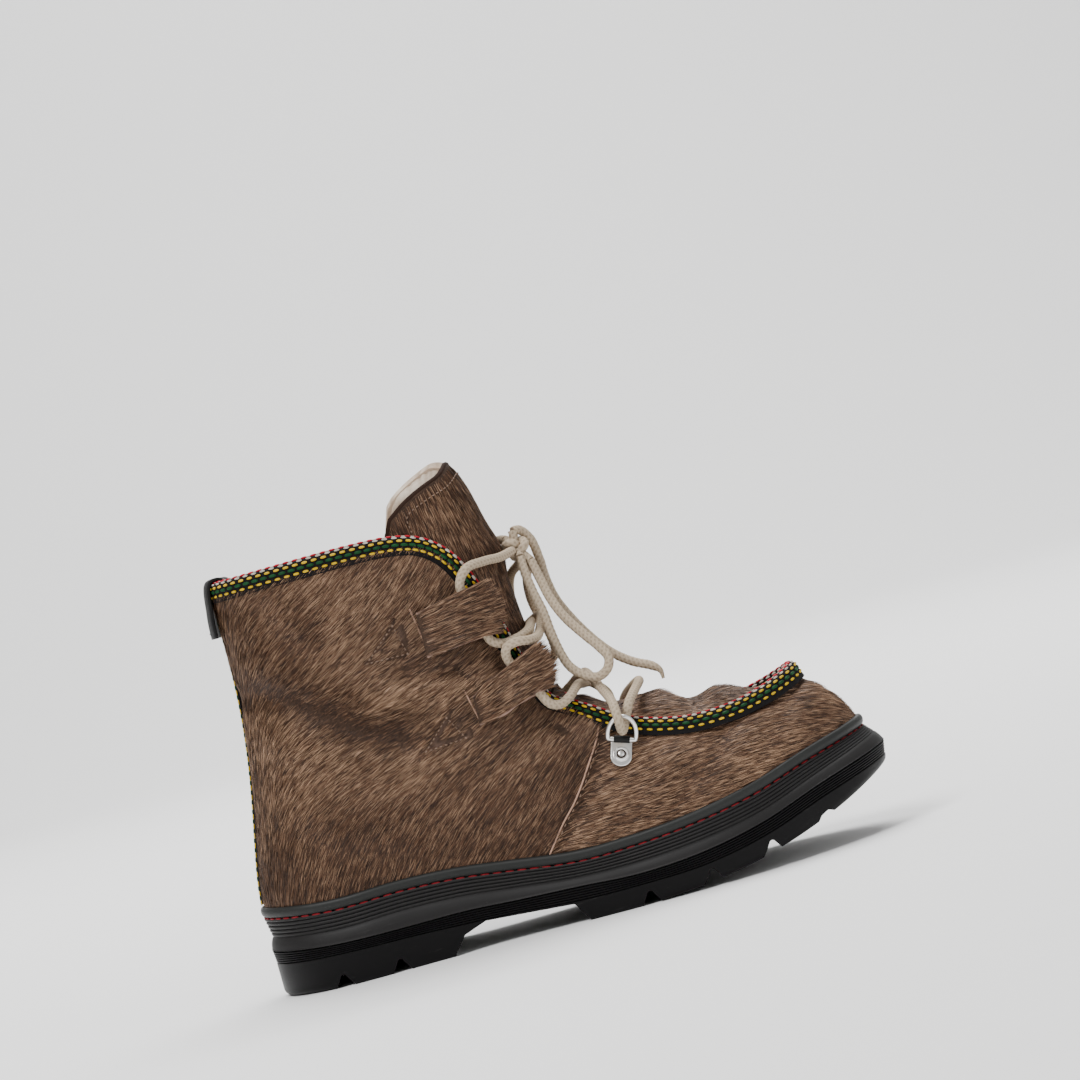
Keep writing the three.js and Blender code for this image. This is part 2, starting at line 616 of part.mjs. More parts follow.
// The frame of the edge: middle of the wall's rim, the way up out of it and the way across
// towards the inside. The vamp's ridge stands steeper than the wall under it.
function edgeFrame(turn) {
  const step = 0.01;
  const tangent = upperPoint(turn + step, 1).sub(upperPoint(turn - step, 1)).normalize();
  const normal = upperNormal(turn, 1);
  const share = shareOf(turn);
  const ridge = 0.7 * THREE.MathUtils.smoothstep(share, 0.55, 0.62);
  const up = normal.clone().cross(tangent).normalize().lerp(new THREE.Vector3(0, 0, 1), ridge);
  up.addScaledVector(tangent, -up.dot(tangent)).normalize();
  const inward = up.clone().cross(tangent).normalize();
  if (inward.dot(normal) > 0) inward.negate();
  const tilt = Math.abs(normal.dot(up)) * (WALL / 2 + OVERLAP);
  const middle = upperPoint(turn, 1).addScaledVector(normal, -WALL / 2).addScaledVector(up, tilt);
  return { middle, up, inward };
}

function edgeBinding() {
  const half = BINDING_WIDTH / 2;
  const section = [
    { across: half, height: GAP + 0.2 }, { across: half, height: 0.72 * BINDING_HEIGHT },
    { across: 0.5 * half, height: BINDING_HEIGHT + GAP }, { across: -0.5 * half, height: BINDING_HEIGHT + GAP },
    { across: -half, height: 0.72 * BINDING_HEIGHT }, { across: -half, height: GAP + 0.2 },
  ];
  const frames = TURNS.map(edgeFrame);
  const loops = section.map(({ across, height }) => frames.map(({ middle, up, inward }) => (
    middle.clone().addScaledVector(inward, across).addScaledVector(up, height))));
  const body = new Body();
  loops.forEach((lower, k) => body.band(loops[(k + 1) % loops.length], lower));
  return body.geometry();
}

add('edge_binding', edgeBinding(), 0x23402a);

// Apron and tongue are one crowned form from the toe up to the shin, parted at their seam.
const LEAF_COLUMNS = 10;
const APRON_END = 0.575;
function apronRow(turn, farTurn) {
  const inset = BINDING_WIDTH / 2 + GAP;
  const onEdge = (where) => {
    const { middle, up, inward } = edgeFrame(where);
    return middle.addScaledVector(inward, inset).addScaledVector(up, 0.45 * BINDING_HEIGHT);
  };
  const near = onEdge(turn);
  const far = onEdge(farTurn);
  const x = near.x / LENGTH;
  const rise = COLLAR_HEIGHT * along(CROWN, 'x', 'rise')(x);
  const lean = along(CROWN, 'x', 'lean')(x);
  const way = new THREE.Vector3(lean, 0, Math.sqrt(1 - lean * lean));
  return Array.from({ length: LEAF_COLUMNS + 1 }, (_, k) => {
    const turnAcross = (Math.PI * k) / LEAF_COLUMNS;
    const share = (1 - Math.cos(turnAcross)) / 2;
    return near.clone().lerp(far, share).addScaledVector(way, rise * Math.sin(turnAcross) ** 0.85);
  });
}

function tongueRow(row) {
  const fullness = 0.8;
  return Array.from({ length: LEAF_COLUMNS + 1 }, (_, k) => {
    const swing = Math.PI * (k / LEAF_COLUMNS - 0.5);
    const ahead = Math.max(Math.cos(swing), 0);
    const beside = Math.sign(swing) * Math.abs(Math.sin(swing)) ** fullness;
    return new THREE.Vector3(
      LENGTH * THREE.MathUtils.lerp(row.wing, row.front, ahead ** fullness),
      BALL * row.half * beside,
      COLLAR_HEIGHT * THREE.MathUtils.lerp(row.wingZ, row.frontZ, ahead ** row.bow),
    );
  });
}

function toeRow(turn) {
  const columns = Array.from({ length: LEAF_COLUMNS + 1 }, (_, k) => (
    apronRow(THREE.MathUtils.lerp(turn, 2 * Math.PI - turn, k / LEAF_COLUMNS), Math.PI)[0]));
  return columns;
}

function leaves() {
  const corner = TOE - 2;
  const rows = [toeRow(TURNS[corner])];
  for (let i = corner; shareOf(TURNS[i]) > APRON_END; i -= 1) rows.push(apronRow(TURNS[i], TURNS[COUNT - i]));
  rows.push(...TONGUE_ROWS.map(tongueRow));
  const whole = solidOf(sheet(rows, LEAF));
  const [low, high] = INSTEP_SEAM.map((row) => new THREE.Vector2(LENGTH * row.x, COLLAR_HEIGHT * row.z));
  const way = high.clone().sub(low).normalize();
  const foot = low.clone().addScaledVector(way, -STACK);
  const head = high.clone().addScaledVector(way, STACK);
  const cut = crossCut([[foot.x, foot.y], [foot.x + GAP, foot.y], [head.x + GAP, head.y], [head.x, head.y]], BALL);
  return whole.subtract(cut).decompose().sort((a, b) => b.boundingBox().max[2] - a.boundingBox().max[2]);
}
const [tongueSolid, ...apronSolids] = leaves();
add('tongue', geometryOf(tongueSolid), HAIR);
add('apron', geometryOf(apronSolids[0]), HAIR);

// A patch of the upper's outer form, standing off it
function formPoint(turn, rise, out) {
  return upperPoint(turn, rise).addScaledVector(upperNormal(turn, rise), out);
}

function backStrip() {
  const from = 0.065;
  const to = 0.965;
  const rows = 10;
  const columns = 4;
  const reach = STRIP_WIDTH / 2 / (BALL * (planY(-0.01) - planY(0.01)) / 0.02);
  const grid = Array.from({ length: rows + 1 }, (_, i) => Array.from({ length: columns + 1 }, (_, j) => (
    formPoint(reach * (2 * j / columns - 1), THREE.MathUtils.lerp(from, to, i / rows), OVERLAP + GAP + STRIP))));
  return sheet(grid, STRIP);
}
add('back_strip', backStrip(), 0x23402a);

function pullTab() {
  const columns = 6;
  const reach = TAB_WIDTH / 2 / (BALL * (planY(-0.01) - planY(0.01)) / 0.02) * 1.6;
  const grid = TAB_COURSE.map(({ out, high }) => Array.from({ length: columns + 1 }, (_, j) => {
    const turn = reach * (2 * j / columns - 1);
    const normal = upperNormal(turn, 1).setZ(0).normalize();
    const point = upperPoint(turn, 1).addScaledVector(normal, out);
    point.z += high;
    return point;
  }));
  return sheet(grid, TAB, { outside: -1 });
}
add('pull_tab', pullTab(), 0x151414, 0.5);

// The place on a side of the upper that a side view shows at x, z. Past the throat's edge the
// surface is carried on straight. Side is -1 lateral, 1 medial.
function onSide(side, x, z) {
  const turnOn = (turn) => (side < 0 ? turn : 2 * Math.PI - turn);
  const halve = (low, high, tooFar) => {
    let [a, b] = [low, high];
    for (let k = 0; k < 22; k += 1) {
      const middle = (a + b) / 2;
      if (tooFar(middle)) b = middle;
      else a = middle;
    }
    return (a + b) / 2;
  };
  const riseAt = (turn) => halve(0, 1, (rise) => upperPoint(turnOn(turn), rise).z > z);
  const top = (turn) => COLLAR_HEIGHT * edgeZ(turnOn(turn));
  const last = z > top(turnOf(0.62)) ? halve(turnOf(0.3), turnOf(0.62), (turn) => top(turn) < z) : turnOf(0.9);
  const read = (wanted) => {
    const turn = halve(turnOf(0.02), last, (guess) => upperPoint(turnOn(guess), riseAt(guess)).x > wanted);
    const rise = riseAt(turn);
    return { point: upperPoint(turnOn(turn), rise), normal: upperNormal(turnOn(turn), rise) };
  };
  const edge = upperPoint(turnOn(last), riseAt(last)).x - 2.5;
  if (x <= edge) return read(x);
  const before = read(edge - 8);
  const here = read(edge);
  const ahead = here.point.clone().sub(before.point);
  return { point: here.point.addScaledVector(ahead, (x - edge) / ahead.x), normal: here.normal };
}

// A folded lace loop: out from its slit over the lace's room, round, and back on the quarter
function laceStrap(row, side) {
  const columns = 3;
  const lift = OVERLAP + STRAP_LIFT + STRAP;
  const room = LACE + STRAP + 2 * GAP;
  const grid = STRAP_COURSE.map(({ run, open }) => Array.from({ length: columns + 1 }, (_, k) => {
    const down = k / columns;
    const slitZ = THREE.MathUtils.lerp(row.slitTop, row.slitLow, down);
    const foldZ = THREE.MathUtils.lerp(row.foldTop, row.foldLow, down);
    const bulge = 0.014 * Math.sin(Math.PI * down);
    const x = LENGTH * THREE.MathUtils.lerp(row.slit, row.fold + bulge, run);
    const { point, normal } = onSide(side, x, COLLAR_HEIGHT * THREE.MathUtils.lerp(slitZ, foldZ, run));
    return point.addScaledVector(normal, lift + room * open + LACE * row.pulled * run * run);
  }));
  return sheet(grid, STRAP, { outside: side });
}
for (const [name, side] of [['lateral', -1], ['medial', 1]]) {
  for (const row of STRAPS) add(`strap_${row.name}_${name}`, laceStrap(row, side), HAIR);
}

// A closed round wire through points
function wireLoop(points, radius, sides) {
  const count = points.length;
  const center = points.reduce((sum, point) => sum.add(point), new THREE.Vector3()).divideScalar(count);
  const plane = points[0].clone().sub(center).cross(points[2].clone().sub(center)).normalize();
  const loops = Array.from({ length: sides }, (_, k) => {
    const angle = (2 * Math.PI * k) / sides;
    return points.map((point, i) => {
      const tangent = points[(i + 1) % count].clone().sub(points[(i + count - 1) % count]).normalize();
      const out = tangent.clone().cross(plane).normalize();
      return point.clone().addScaledVector(out, radius * Math.cos(angle))
        .addScaledVector(plane, radius * Math.sin(angle));
    });
  });
  const body = new Body();
  loops.forEach((lower, k) => body.band(lower, loops[(k + 1) % sides]));
  return body.geometry();
}

// Frame of a ring and its plate: out of the vamp, up towards the lace, and across
function ringFrame(side) {
  const { point, normal } = onSide(side, LENGTH * RING.x, COLLAR_HEIGHT * RING.z);
  const up = new THREE.Vector3(RING.ahead, 0, 1);
  up.addScaledVector(normal, -up.dot(normal)).normalize();
  return { point, normal, up, across: up.clone().cross(normal) };
}

function placed(geometry, { up, normal, across }, place) {
  const turned = new THREE.Matrix4().makeBasis(across, up, normal).setPosition(place);
  geometry.applyMatrix4(turned);
  return geometry;
}

const PLATE_LIFT = 0.7; // flat plate over the vamp's curve
for (const [name, side] of [['lateral', -1], ['medial', 1]]) {
  const frame = ringFrame(side);
  const plateAt = frame.point.clone().addScaledVector(frame.normal, PLATE_LIFT + PLATE.thickness / 2);
  const plate = new THREE.BoxGeometry(PLATE.width, PLATE.height, PLATE.thickness);
  add(`ring_plate_${name}`, placed(plate, frame, plateAt), 0xb9bbbe, 0.3, 1);

  const rim = [[RIVET.bore, 0], [RIVET.radius, 0], [RIVET.radius, 0.5 * RIVET.height],
    [0.5 * (RIVET.radius + RIVET.bore), RIVET.height], [RIVET.bore, 0.5 * RIVET.height], [RIVET.bore, 0]];
  const rivet = new THREE.LatheGeometry(rim.map(([r, h]) => new THREE.Vector2(r, h)), 14);
  rivet.rotateX(Math.PI / 2);
  const rivetAt = plateAt.clone().addScaledVector(frame.normal, PLATE.thickness / 2 + GAP / 3);
  add(`rivet_${name}`, placed(rivet, frame, rivetAt), 0xb9bbbe, 0.3, 1);

  const wire = RING.wire / 2;
  const foot = plateAt.clone().addScaledVector(frame.up, PLATE.height / 2 + wire + GAP)
    .addScaledVector(frame.normal, 0.4);
  const tall = new THREE.Vector3(RING.ahead, side * RING.out, 1).normalize();
  const half = RING.width / 2 - wire;
  const bow = 9;
  const points = [[-half, 0], [0, 0], [half, 0]];
  for (let k = 0; k <= bow; k += 1) {
    const swing = (Math.PI * k) / bow;
    const shoulder = 0.2 * RING.height;
    points.push([half * Math.cos(swing), shoulder + (RING.height - RING.wire - shoulder) * Math.sin(swing)]);
  }
  const path = points.map(([x, y]) => foot.clone().addScaledVector(frame.across, x).addScaledVector(tall, y));
  add(`ring_${name}`, wireLoop(path, wire, 6), 0xb9bbbe, 0.25, 1);
}

// Lacing: its course from one side of the knot to the other, through the four straps and both
// rings, then the knot, loops and ends of the bow. Each point was placed by hand.
const LACING = [
  [147, -4.8, 158.8], [141.4, -15.5, 157.6], [134, -26.6, 157.8], [126, -35, 156.6], [122, -36.8, 150.6],
  [125, -36.2, 138.4], [127, -36, 131], [128.2, -36.1, 125], [132.8, -35.2, 122.2], [139.2, -31.6, 122.6],
  [143.8, -24.6, 124], [145.8, -14, 125.8], [146.5, 0, 127.2], [145.6, 14, 125.4], [143.8, 25, 121.8],
  [139.6, 32, 119.6], [134.6, 36.2, 118.8], [132.4, 37, 114.8], [137.6, 37.6, 105.6], [140, 38.3, 99.2],
  [143, 38.6, 93], [150, 37.2, 91.6], [155, 33.6, 94.2], [159, 26, 97.2], [161.8, 14, 98.8],
  [163.4, 0, 99.4], [165.4, -12, 96.8], [168, -23, 91.6], [170.2, -33.6, 87], [170.8, -42, 84],
  [171, -45.8, 78.4], [171.4, -41, 73.2], [173.6, -36.4, 76.4], [176.8, -33.2, 82.6], [181.4, -20, 87.4],
  [184.6, 0, 89.8], [181.4, 20, 87.4], [176.8, 34.2, 82.6], [173.6, 37, 76.4], [171.4, 41.6, 73.2],
  [171, 46.4, 78.4], [170.8, 43, 84], [170, 34, 87.4], [167.4, 24, 91], [164, 12, 94.4],
  [160.8, 0, 95.2], [159, -14, 96], [156.6, -26, 94.8], [153.4, -33.4, 92.4], [149.2, -36, 90.8],
  [145.2, -37.7, 92.4], [141.8, -37.8, 98.8], [138.6, -37, 105.6], [133, -36.9, 115.2],
  [133.8, -38.8, 120], [138.6, -38.8, 121.4], [143.4, -35.2, 120.6], [146.8, -27.6, 120.6], [148.7, -16, 122],
  [151.2, 0, 127.6], [150.2, 15, 128.6], [147.8, 26, 127.4], [143.2, 33.8, 125], [137.4, 37.8, 122.8],
  [131.4, 37.2, 122.2], [127.7, 36.4, 125.8], [126.3, 36, 131.6], [124.8, 36.2, 138.2], [122, 36.8, 150.6], [126, 35, 156.6],
  [134, 26.6, 157.8], [141.4, 15.5, 157.6], [147, 4.8, 158.8],
];
const KNOT = { at: [148.8, 0, 159.4], size: [5.4, 4.3, 5.2] };
const BOW = {
  lace_loop_lateral: [
    [149.6, -5.6, 155.2], [149.8, -8.4, 148], [151, -11, 139], [152.8, -13.4, 130], [153.6, -15, 121],
    [155, -16.6, 112], [157.4, -18.6, 104.6], [162.4, -21.4, 99.4], [168, -23.2, 97.2], [172.6, -24, 99.4],
    [174.4, -23, 103.8], [172.2, -21, 108.6], [166.6, -18, 116.6], [161, -15, 125.4], [157.4, -11, 134.4],
    [155.4, -7, 143.6], [153.6, -4.4, 152.6],
  ],
  lace_loop_medial: [
    [151, 5.8, 156.2], [148, 13.6, 152.6], [144, 22, 149.6], [141.6, 31, 145], [140.4, 39, 138],
    [140.6, 44.2, 129], [142, 47, 120], [144.4, 48.2, 111.4], [148.8, 48, 107], [152.6, 46.6, 109.6],
    [152.8, 44.4, 117], [150.8, 41, 125.6], [149, 36, 134], [149, 28.6, 141.4], [150.4, 19.4, 147.6],
    [152.2, 10, 151.6], [152.8, 4.6, 153.4],
  ],
  lace_end_lateral: [
    [149.4, 1.4, 167], [152.2, 3.4, 166.8], [156, 6, 161.6], [157.4, 8, 152.4], [157.8, 9.5, 143],
    [159.4, 10.5, 134], [162.8, 11, 125.6], [167.4, 11.4, 117], [172.4, 11, 109.4], [177.6, 9.6, 103.4],
    [184.6, 7.6, 98], [191.6, 5.4, 94.4], [194.8, 4.6, 91.4], [195.2, 4.2, 87.6],
  ],
  lace_end_medial: [
    [145.6, 5.8, 164], [143, 11.6, 164.8], [140, 19.4, 163.8], [136.8, 28, 161.4], [133.6, 36.4, 157.6],
    [131.2, 43, 153], [130.4, 46.8, 146], [130.2, 48.2, 137], [130.4, 48.8, 126], [131, 49, 115],
    [132.2, 49, 104.6], [133.6, 48.8, 95],
  ],
};

// A round cord through points
const CORD_SIDES = 8;
const CORD_STEP = 9;
function cord(points) {
  const path = new THREE.CatmullRomCurve3(points.map((point) => new THREE.Vector3(...point)));
  const section = new THREE.Shape(Array.from({ length: CORD_SIDES }, (_, k) => {
    const angle = (2 * Math.PI * k) / CORD_SIDES;
    return new THREE.Vector2(LACE / 2 * Math.cos(angle), LACE / 2 * Math.sin(angle));
  }));
  const steps = Math.min(Math.round(path.getLength() / CORD_STEP), 80);
  return new THREE.ExtrudeGeometry(section, { steps, bevelEnabled: false, extrudePath: path });
}

const COTTON = 0xcfc6b4;
add('lace_crossings', cord(LACING), COTTON);
const knot = new THREE.SphereGeometry(1, 10, 7);
knot.scale(...KNOT.size);
knot.translate(...KNOT.at);
add('lace_knot', knot, COTTON);
for (const [name, points] of Object.entries(BOW)) add(name, cord(points), COTTON);

// Origin under the middle of the boot, on the floor, whatever the lace does
const body = new THREE.Box3();
for (const mesh of group.children) if (!(mesh.name in BOW)) body.expandByObject(mesh);
const center = body.getCenter(new THREE.Vector3());
group.position.set(-center.x, -center.y, -body.min.z);

export default group;
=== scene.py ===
"""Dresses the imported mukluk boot: hair-on calf, woven tape, fleece, braided lace and rubber sole.

Sizes in the tables are the boot's own, in millimetres or as shares of its length, its width at
the ball, the height of its collar or the height of its sole. Meshes are made in metres.
"""
from __future__ import annotations

import logging
import math
from dataclasses import dataclass, field
from enum import Enum
from functools import cache
from typing import Any, Callable, Iterable, Sequence

import bmesh
import bpy
import numpy as np
from mathutils import Matrix, Vector, noise

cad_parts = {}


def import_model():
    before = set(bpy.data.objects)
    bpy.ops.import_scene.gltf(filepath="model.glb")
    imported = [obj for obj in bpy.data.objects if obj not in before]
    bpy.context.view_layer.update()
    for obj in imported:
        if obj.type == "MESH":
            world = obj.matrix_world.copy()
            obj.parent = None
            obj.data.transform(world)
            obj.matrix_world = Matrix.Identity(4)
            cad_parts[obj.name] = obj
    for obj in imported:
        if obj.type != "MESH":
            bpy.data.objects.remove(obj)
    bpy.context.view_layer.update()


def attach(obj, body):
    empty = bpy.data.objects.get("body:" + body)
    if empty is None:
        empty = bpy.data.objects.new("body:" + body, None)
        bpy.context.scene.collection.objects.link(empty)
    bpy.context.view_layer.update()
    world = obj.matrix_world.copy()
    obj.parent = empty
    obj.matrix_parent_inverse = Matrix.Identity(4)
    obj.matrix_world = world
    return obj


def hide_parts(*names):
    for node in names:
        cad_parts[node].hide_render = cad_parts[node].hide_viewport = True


LOG = logging.getLogger("boot")
Body, Material, Array = bpy.types.Object, bpy.types.Material, np.ndarray
Triple = tuple[float, float, float]
MM = 0.001
HEEL = np.array([-139.88, 0.361, 0.0])  # where the tables' origin, at the heel, lies in the row frame
FULL = 2 * math.pi
FAR = 99.0  # farther than any crease or seam reaches
UP = np.array([0.0, 0.0, 1.0])

# Length, width at the ball, heights of collar and sole, rise of the tread at the toe, flare of the sole
LENGTH, BALL, COLLAR, STACK, SPRING, FLARE = 280.0, 102.0, 180.0, 40.0, 27.0, 8.0
# Thickness of the wall, room between pieces, how far the quarter stands over the vamp
WALL, GAP, OVERLAP = 3.0, 0.3, 1.0
WELT_HEIGHT, WELT_WIDTH = 4.8, 3.0
BINDING_WIDTH, BINDING_HEIGHT = 5.6, 6.8
STRAP, STRAP_LIFT, LACE = 1.6, 1.3, 4.1


class Side(Enum):
    """A side of the right boot and the way it faces along Y."""

    LATERAL = -1
    MEDIAL = 1

    @property
    def word(self) -> str:
        """The side's name in lower case."""
        return self.name.lower()


# ---------------------------------------------------------------- curves, vectors and meshes


def cubic(t: Array, start: Any, end: Any, leave: Any, arrive: Any) -> Array:
    """The cubic between two values with the slopes that it leaves and arrives with."""
    return (start * (2 * t**3 - 3 * t**2 + 1) + leave * (t**3 - 2 * t**2 + t)
            + end * (3 * t**2 - 2 * t**3) + arrive * (t**3 - t**2))


class Curve:
    """A smooth curve through knots, cubic between them, as the part's source has it."""

    def __init__(self, knots: Sequence[float], values: Sequence[Any], period: float = 0.0) -> None:
        """Keeps the knots and works out their slopes.

        Args:
            knots: rising places.
            values: a number or a vector for each place.
            period: the curve repeats after this, or 0 where it ends.
        """
        place, value = np.asarray(knots, float), np.asarray(values, float)
        if period:
            place = np.concatenate([place[-2:] - period, place, place[:3] + period])
            value = np.concatenate([value[-2:], value, value[:3]])
        before = np.concatenate([place[:1], place[:-1]])
        after = np.concatenate([place[1:], place[-1:]])
        rise = np.concatenate([value[1:], value[-1:]]) - np.concatenate([value[:1], value[:-1]])
        run = (after - before).reshape((-1,) + (1,) * (value.ndim - 1))
        self.place, self.value, self.slope, self.period = place, value, rise / run, period

    def __call__(self, where: Any) -> Array:
        """Reads the curve at one or many places.

        Args:
            where: the places.

        Returns:
            The value at each.
        """
        where = np.asarray(where, float)
        where = where % self.period if self.period else np.clip(where, self.place[0], self.place[-1])
        i = np.clip(np.searchsorted(self.place, where, side="right") - 1, 0, len(self.place) - 2)
        span = self.place[i + 1] - self.place[i]
        t = (where - self.place[i]) / span
        extra = (1,) * (self.value.ndim - 1)
        t, span = t.reshape(t.shape + extra), span.reshape(span.shape + extra)
        return cubic(t, self.value[i], self.value[i + 1], self.slope[i] * span, self.slope[i + 1] * span)


def unit(vectors: Array) -> Array:
    """Vectors at length one."""
    return vectors / np.maximum(np.linalg.norm(vectors, axis=-1, keepdims=True), 1e-9)


def smoothstep(low: float, high: float, value: Any) -> Array:
    """A soft step from 0 at low to 1 at high."""
    t = np.clip((np.asarray(value, float) - low) / (high - low), 0, 1)
    return t * t * (3 - 2 * t)


def blend(a: Any, b: Any, share: Any) -> Any:
    """The value a share of the way from a to b."""
    return a + (b - a) * share


def turn_of(share: Any) -> Array:
    """The turn round the boot that a share of its length stands for: 0 heel, pi toe."""
    return np.arccos(1 - 2 * np.asarray(share, float))


def share_of(turn: Any) -> Array:
    """The share of the boot's length at a turn."""
    return (1 - np.cos(turn)) / 2


def rough(points: Array, size: float, seed: float = 0.0, octaves: int = 1) -> Array:
    """Smooth noise from -1 to 1 at each point, whose lumps are about size millimetres.

    Args:
        points: places in millimetres.
        size: size of a lump.
        seed: shift of the pattern.
        octaves: finer layers.

    Returns:
        A number for each point.
    """
    flat = points.reshape(-1, 3) / size + seed
    if octaves == 1:
        values = [noise.noise(Vector(p)) for p in flat]
    else:
        values = [noise.fractal(Vector(p), 0.6, 2.1, octaves) for p in flat]
    return np.array(values).reshape(points.shape[:-1])


def grid_normals(grid: Array, closed: bool) -> Array:
    """Normals of a grid of points, rows along its first axis; closed rows run round.

    Args:
        grid: rows, columns, 3.
        closed: whether the last column meets the first.

    Returns:
        The normals, pointing out where the columns run round and the rows rise.
    """
    if closed:
        across = np.roll(grid, -1, 1) - np.roll(grid, 1, 1)
    else:
        across = np.gradient(grid, axis=1)
    return unit(np.cross(across, np.gradient(grid, axis=0)))


def refine(grid: Array, rows: int, columns: int) -> Array:
    """A smooth finer grid through a coarse one.

    Args:
        grid: the coarse points.
        rows: rows wanted.
        columns: columns wanted.

    Returns:
        The fine grid.
    """
    steps = np.linalg.norm(np.diff(grid, axis=0), axis=2).mean(1)
    place = np.concatenate([[0], np.cumsum(np.maximum(steps, 1e-6))])
    tall = Curve(place, grid)(np.linspace(0, place[-1], rows))
    wide = Curve(np.arange(grid.shape[1]), np.swapaxes(tall, 0, 1))
    return np.swapaxes(wide(np.linspace(0, grid.shape[1] - 1, columns)), 0, 1)


def link(obj: Body) -> Body:
    """Puts an object into the scene."""
    bpy.context.scene.collection.objects.link(obj)
    return obj


def mesh_object(name: str, points: Array, faces: Iterable[Sequence[int]],
                material: Material | None = None, soft: float | None = 40.0) -> Body:
    """Makes a mesh from points in the boot's own millimetres.

    Args:
        name: the piece's name.
        points: corners, from the heel.
        faces: corners of each face.
        material: its finish.
        soft: edges under this angle in degrees are shaded round, or None for flat faces.

    Returns:
        The new object.
    """
    mesh = bpy.data.meshes.new(name)
    mesh.from_pydata(((points.reshape(-1, 3) + HEEL) * MM).tolist(), [], [list(f) for f in faces])
    mesh.update()
    if material:
        mesh.materials.append(material)
    if soft is not None and len(mesh.polygons):
        mesh.shade_smooth()
        mesh.set_sharp_from_angle(angle=math.radians(soft))
    return link(bpy.data.objects.new(name, mesh))


def grid_faces(rows: int, columns: int, closed: bool, start: int = 0, flip: bool = False) -> list[list[int]]:
    """Faces of a grid of points.

    Args:
        rows: rows of points.
        columns: points in a row.
        closed: whether the last column meets the first.
        start: number of the first point.
        flip: whether the faces are turned over.

    Returns:
        Four corners of each face.
    """
    faces = []
    for i in range(rows - 1):
        for j in range(columns if closed else columns - 1):
            k = (j + 1) % columns
            face = [start + i * columns + j, start + i * columns + k,
                    start + (i + 1) * columns + k, start + (i + 1) * columns + j]
            faces.append(face[::-1] if flip else face)
    return faces


def sheet_object(name: str, grid: Array, closed: bool = False, flip: bool = False,
                 material: Material | None = None) -> Body:
    """A mesh of one layer over a grid of points."""
    rows, columns = grid.shape[:2]
    return mesh_object(name, grid, grid_faces(rows, columns, closed, flip=flip), material)


def loop_object(name: str, loops: Sequence[Array], material: Material,
                soft: float = 40.0, flip: bool = False) -> Body:
    """A closed body of rings that are joined in turn, the last to the first.

    Args:
        name: the piece's name.
        loops: the rings.
        material: its finish.
        soft: angle in degrees that is shaded round.
        flip: whether its faces are turned over.

    Returns:
        The new object.
    """
    grid = np.array([*loops, loops[0]])
    rows, columns = grid.shape[:2]
    faces = []
    for face in grid_faces(rows, columns, True, flip=flip):
        faces.append([f % ((rows - 1) * columns) for f in face])
    return mesh_object(name, grid[:-1], faces, material, soft)


def evaluated(obj: Body, name: str) -> Body:
    """Turns an object with live modifiers into a plain mesh and removes the first one.

    Args:
        obj: the object; it is removed.
        name: the result's name.

    Returns:
        The new object.
    """
    bpy.context.view_layer.update()
    graph = bpy.context.evaluated_depsgraph_get()
    mesh = bpy.data.meshes.new_from_object(obj.evaluated_get(graph), preserve_all_data_layers=True, depsgraph=graph)
    bpy.data.objects.remove(obj)
    mesh.name = name
    return link(bpy.data.objects.new(name, mesh))


def thicken(obj: Body, thickness: float, bevel: float = 0.0, flip: int = -1,
            back: Material | None = None) -> Body:
    """Gives a sheet its thickness.

    Args:
        obj: the sheet; it is replaced.
        thickness: its thickness in millimetres.
        bevel: width of its rounded edges.
        flip: -1 puts the thickness behind its faces, 0 on both sides.
        back: finish of its back and rim where it differs.

    Returns:
        The new body.
    """
    name = obj.name
    wall = obj.modifiers.new("wall", "SOLIDIFY")
    if back:
        obj.data.materials.append(back)
        wall.material_offset = wall.material_offset_rim = 1
    wall.thickness, wall.offset, wall.use_even_offset = thickness * MM, flip, True
    if bevel:
        round_off = obj.modifiers.new("round", "BEVEL")
        round_off.width, round_off.segments, round_off.limit_method = bevel * MM, 2, "ANGLE"
        round_off.angle_limit = math.radians(50)
    done = evaluated(obj, name)
    done.data.shade_smooth()
    done.data.set_sharp_from_angle(angle=math.radians(60))
    return done


def patch_object(name: str, grid: Array, mask: Array, closed: bool, flip: bool = False) -> Body:
    """A sheet of the faces of a grid that lie mostly on a mask.

    Args:
        name: the sheet's name.
        grid: its points.
        mask: which points count.
        closed: whether the last column meets the first.
        flip: whether its faces are turned over.

    Returns:
        The new object.
    """
    faces = np.array(grid_faces(*grid.shape[:2], closed, flip=flip))
    return mesh_object(name, grid, faces[mask.ravel()[faces].mean(1) > 0.5].tolist())


def ahead_of(line: Array) -> Array:
    """The way along a line or a grid's rows at each point."""
    return unit(np.gradient(line, axis=0))


def off_course(x: Array, z: Array, course: Sequence[Sequence[float]]) -> Array:
    """Distance from a line of points, as a side view shows it.

    Args:
        x: places along the boot.
        z: their heights.
        course: x and z of each point of the line.

    Returns:
        The distances.
    """
    near = np.full(x.shape, FAR)
    for (ax, az), (bx, bz) in zip(course, course[1:]):
        dx, dz = bx - ax, bz - az
        t = np.clip(((x - ax) * dx + (z - az) * dz) / (dx * dx + dz * dz), 0, 1)
        near = np.minimum(near, np.hypot(x - ax - t * dx, z - az - t * dz))
    return near


def paint(obj: Body, name: str, values: Array) -> None:
    """Stores a number or a vector for each corner of a mesh as an attribute.

    Args:
        obj: the mesh object.
        name: the attribute's name.
        values: one for each corner; a last axis of 3 makes vectors.
    """
    vector = values.ndim > 1 and values.shape[-1] == 3
    kind = "FLOAT_VECTOR" if vector else "FLOAT"
    layer = obj.data.attributes.new(name, kind, "POINT")
    layer.data.foreach_set("vector" if vector else "value", values.astype(np.float32).ravel())


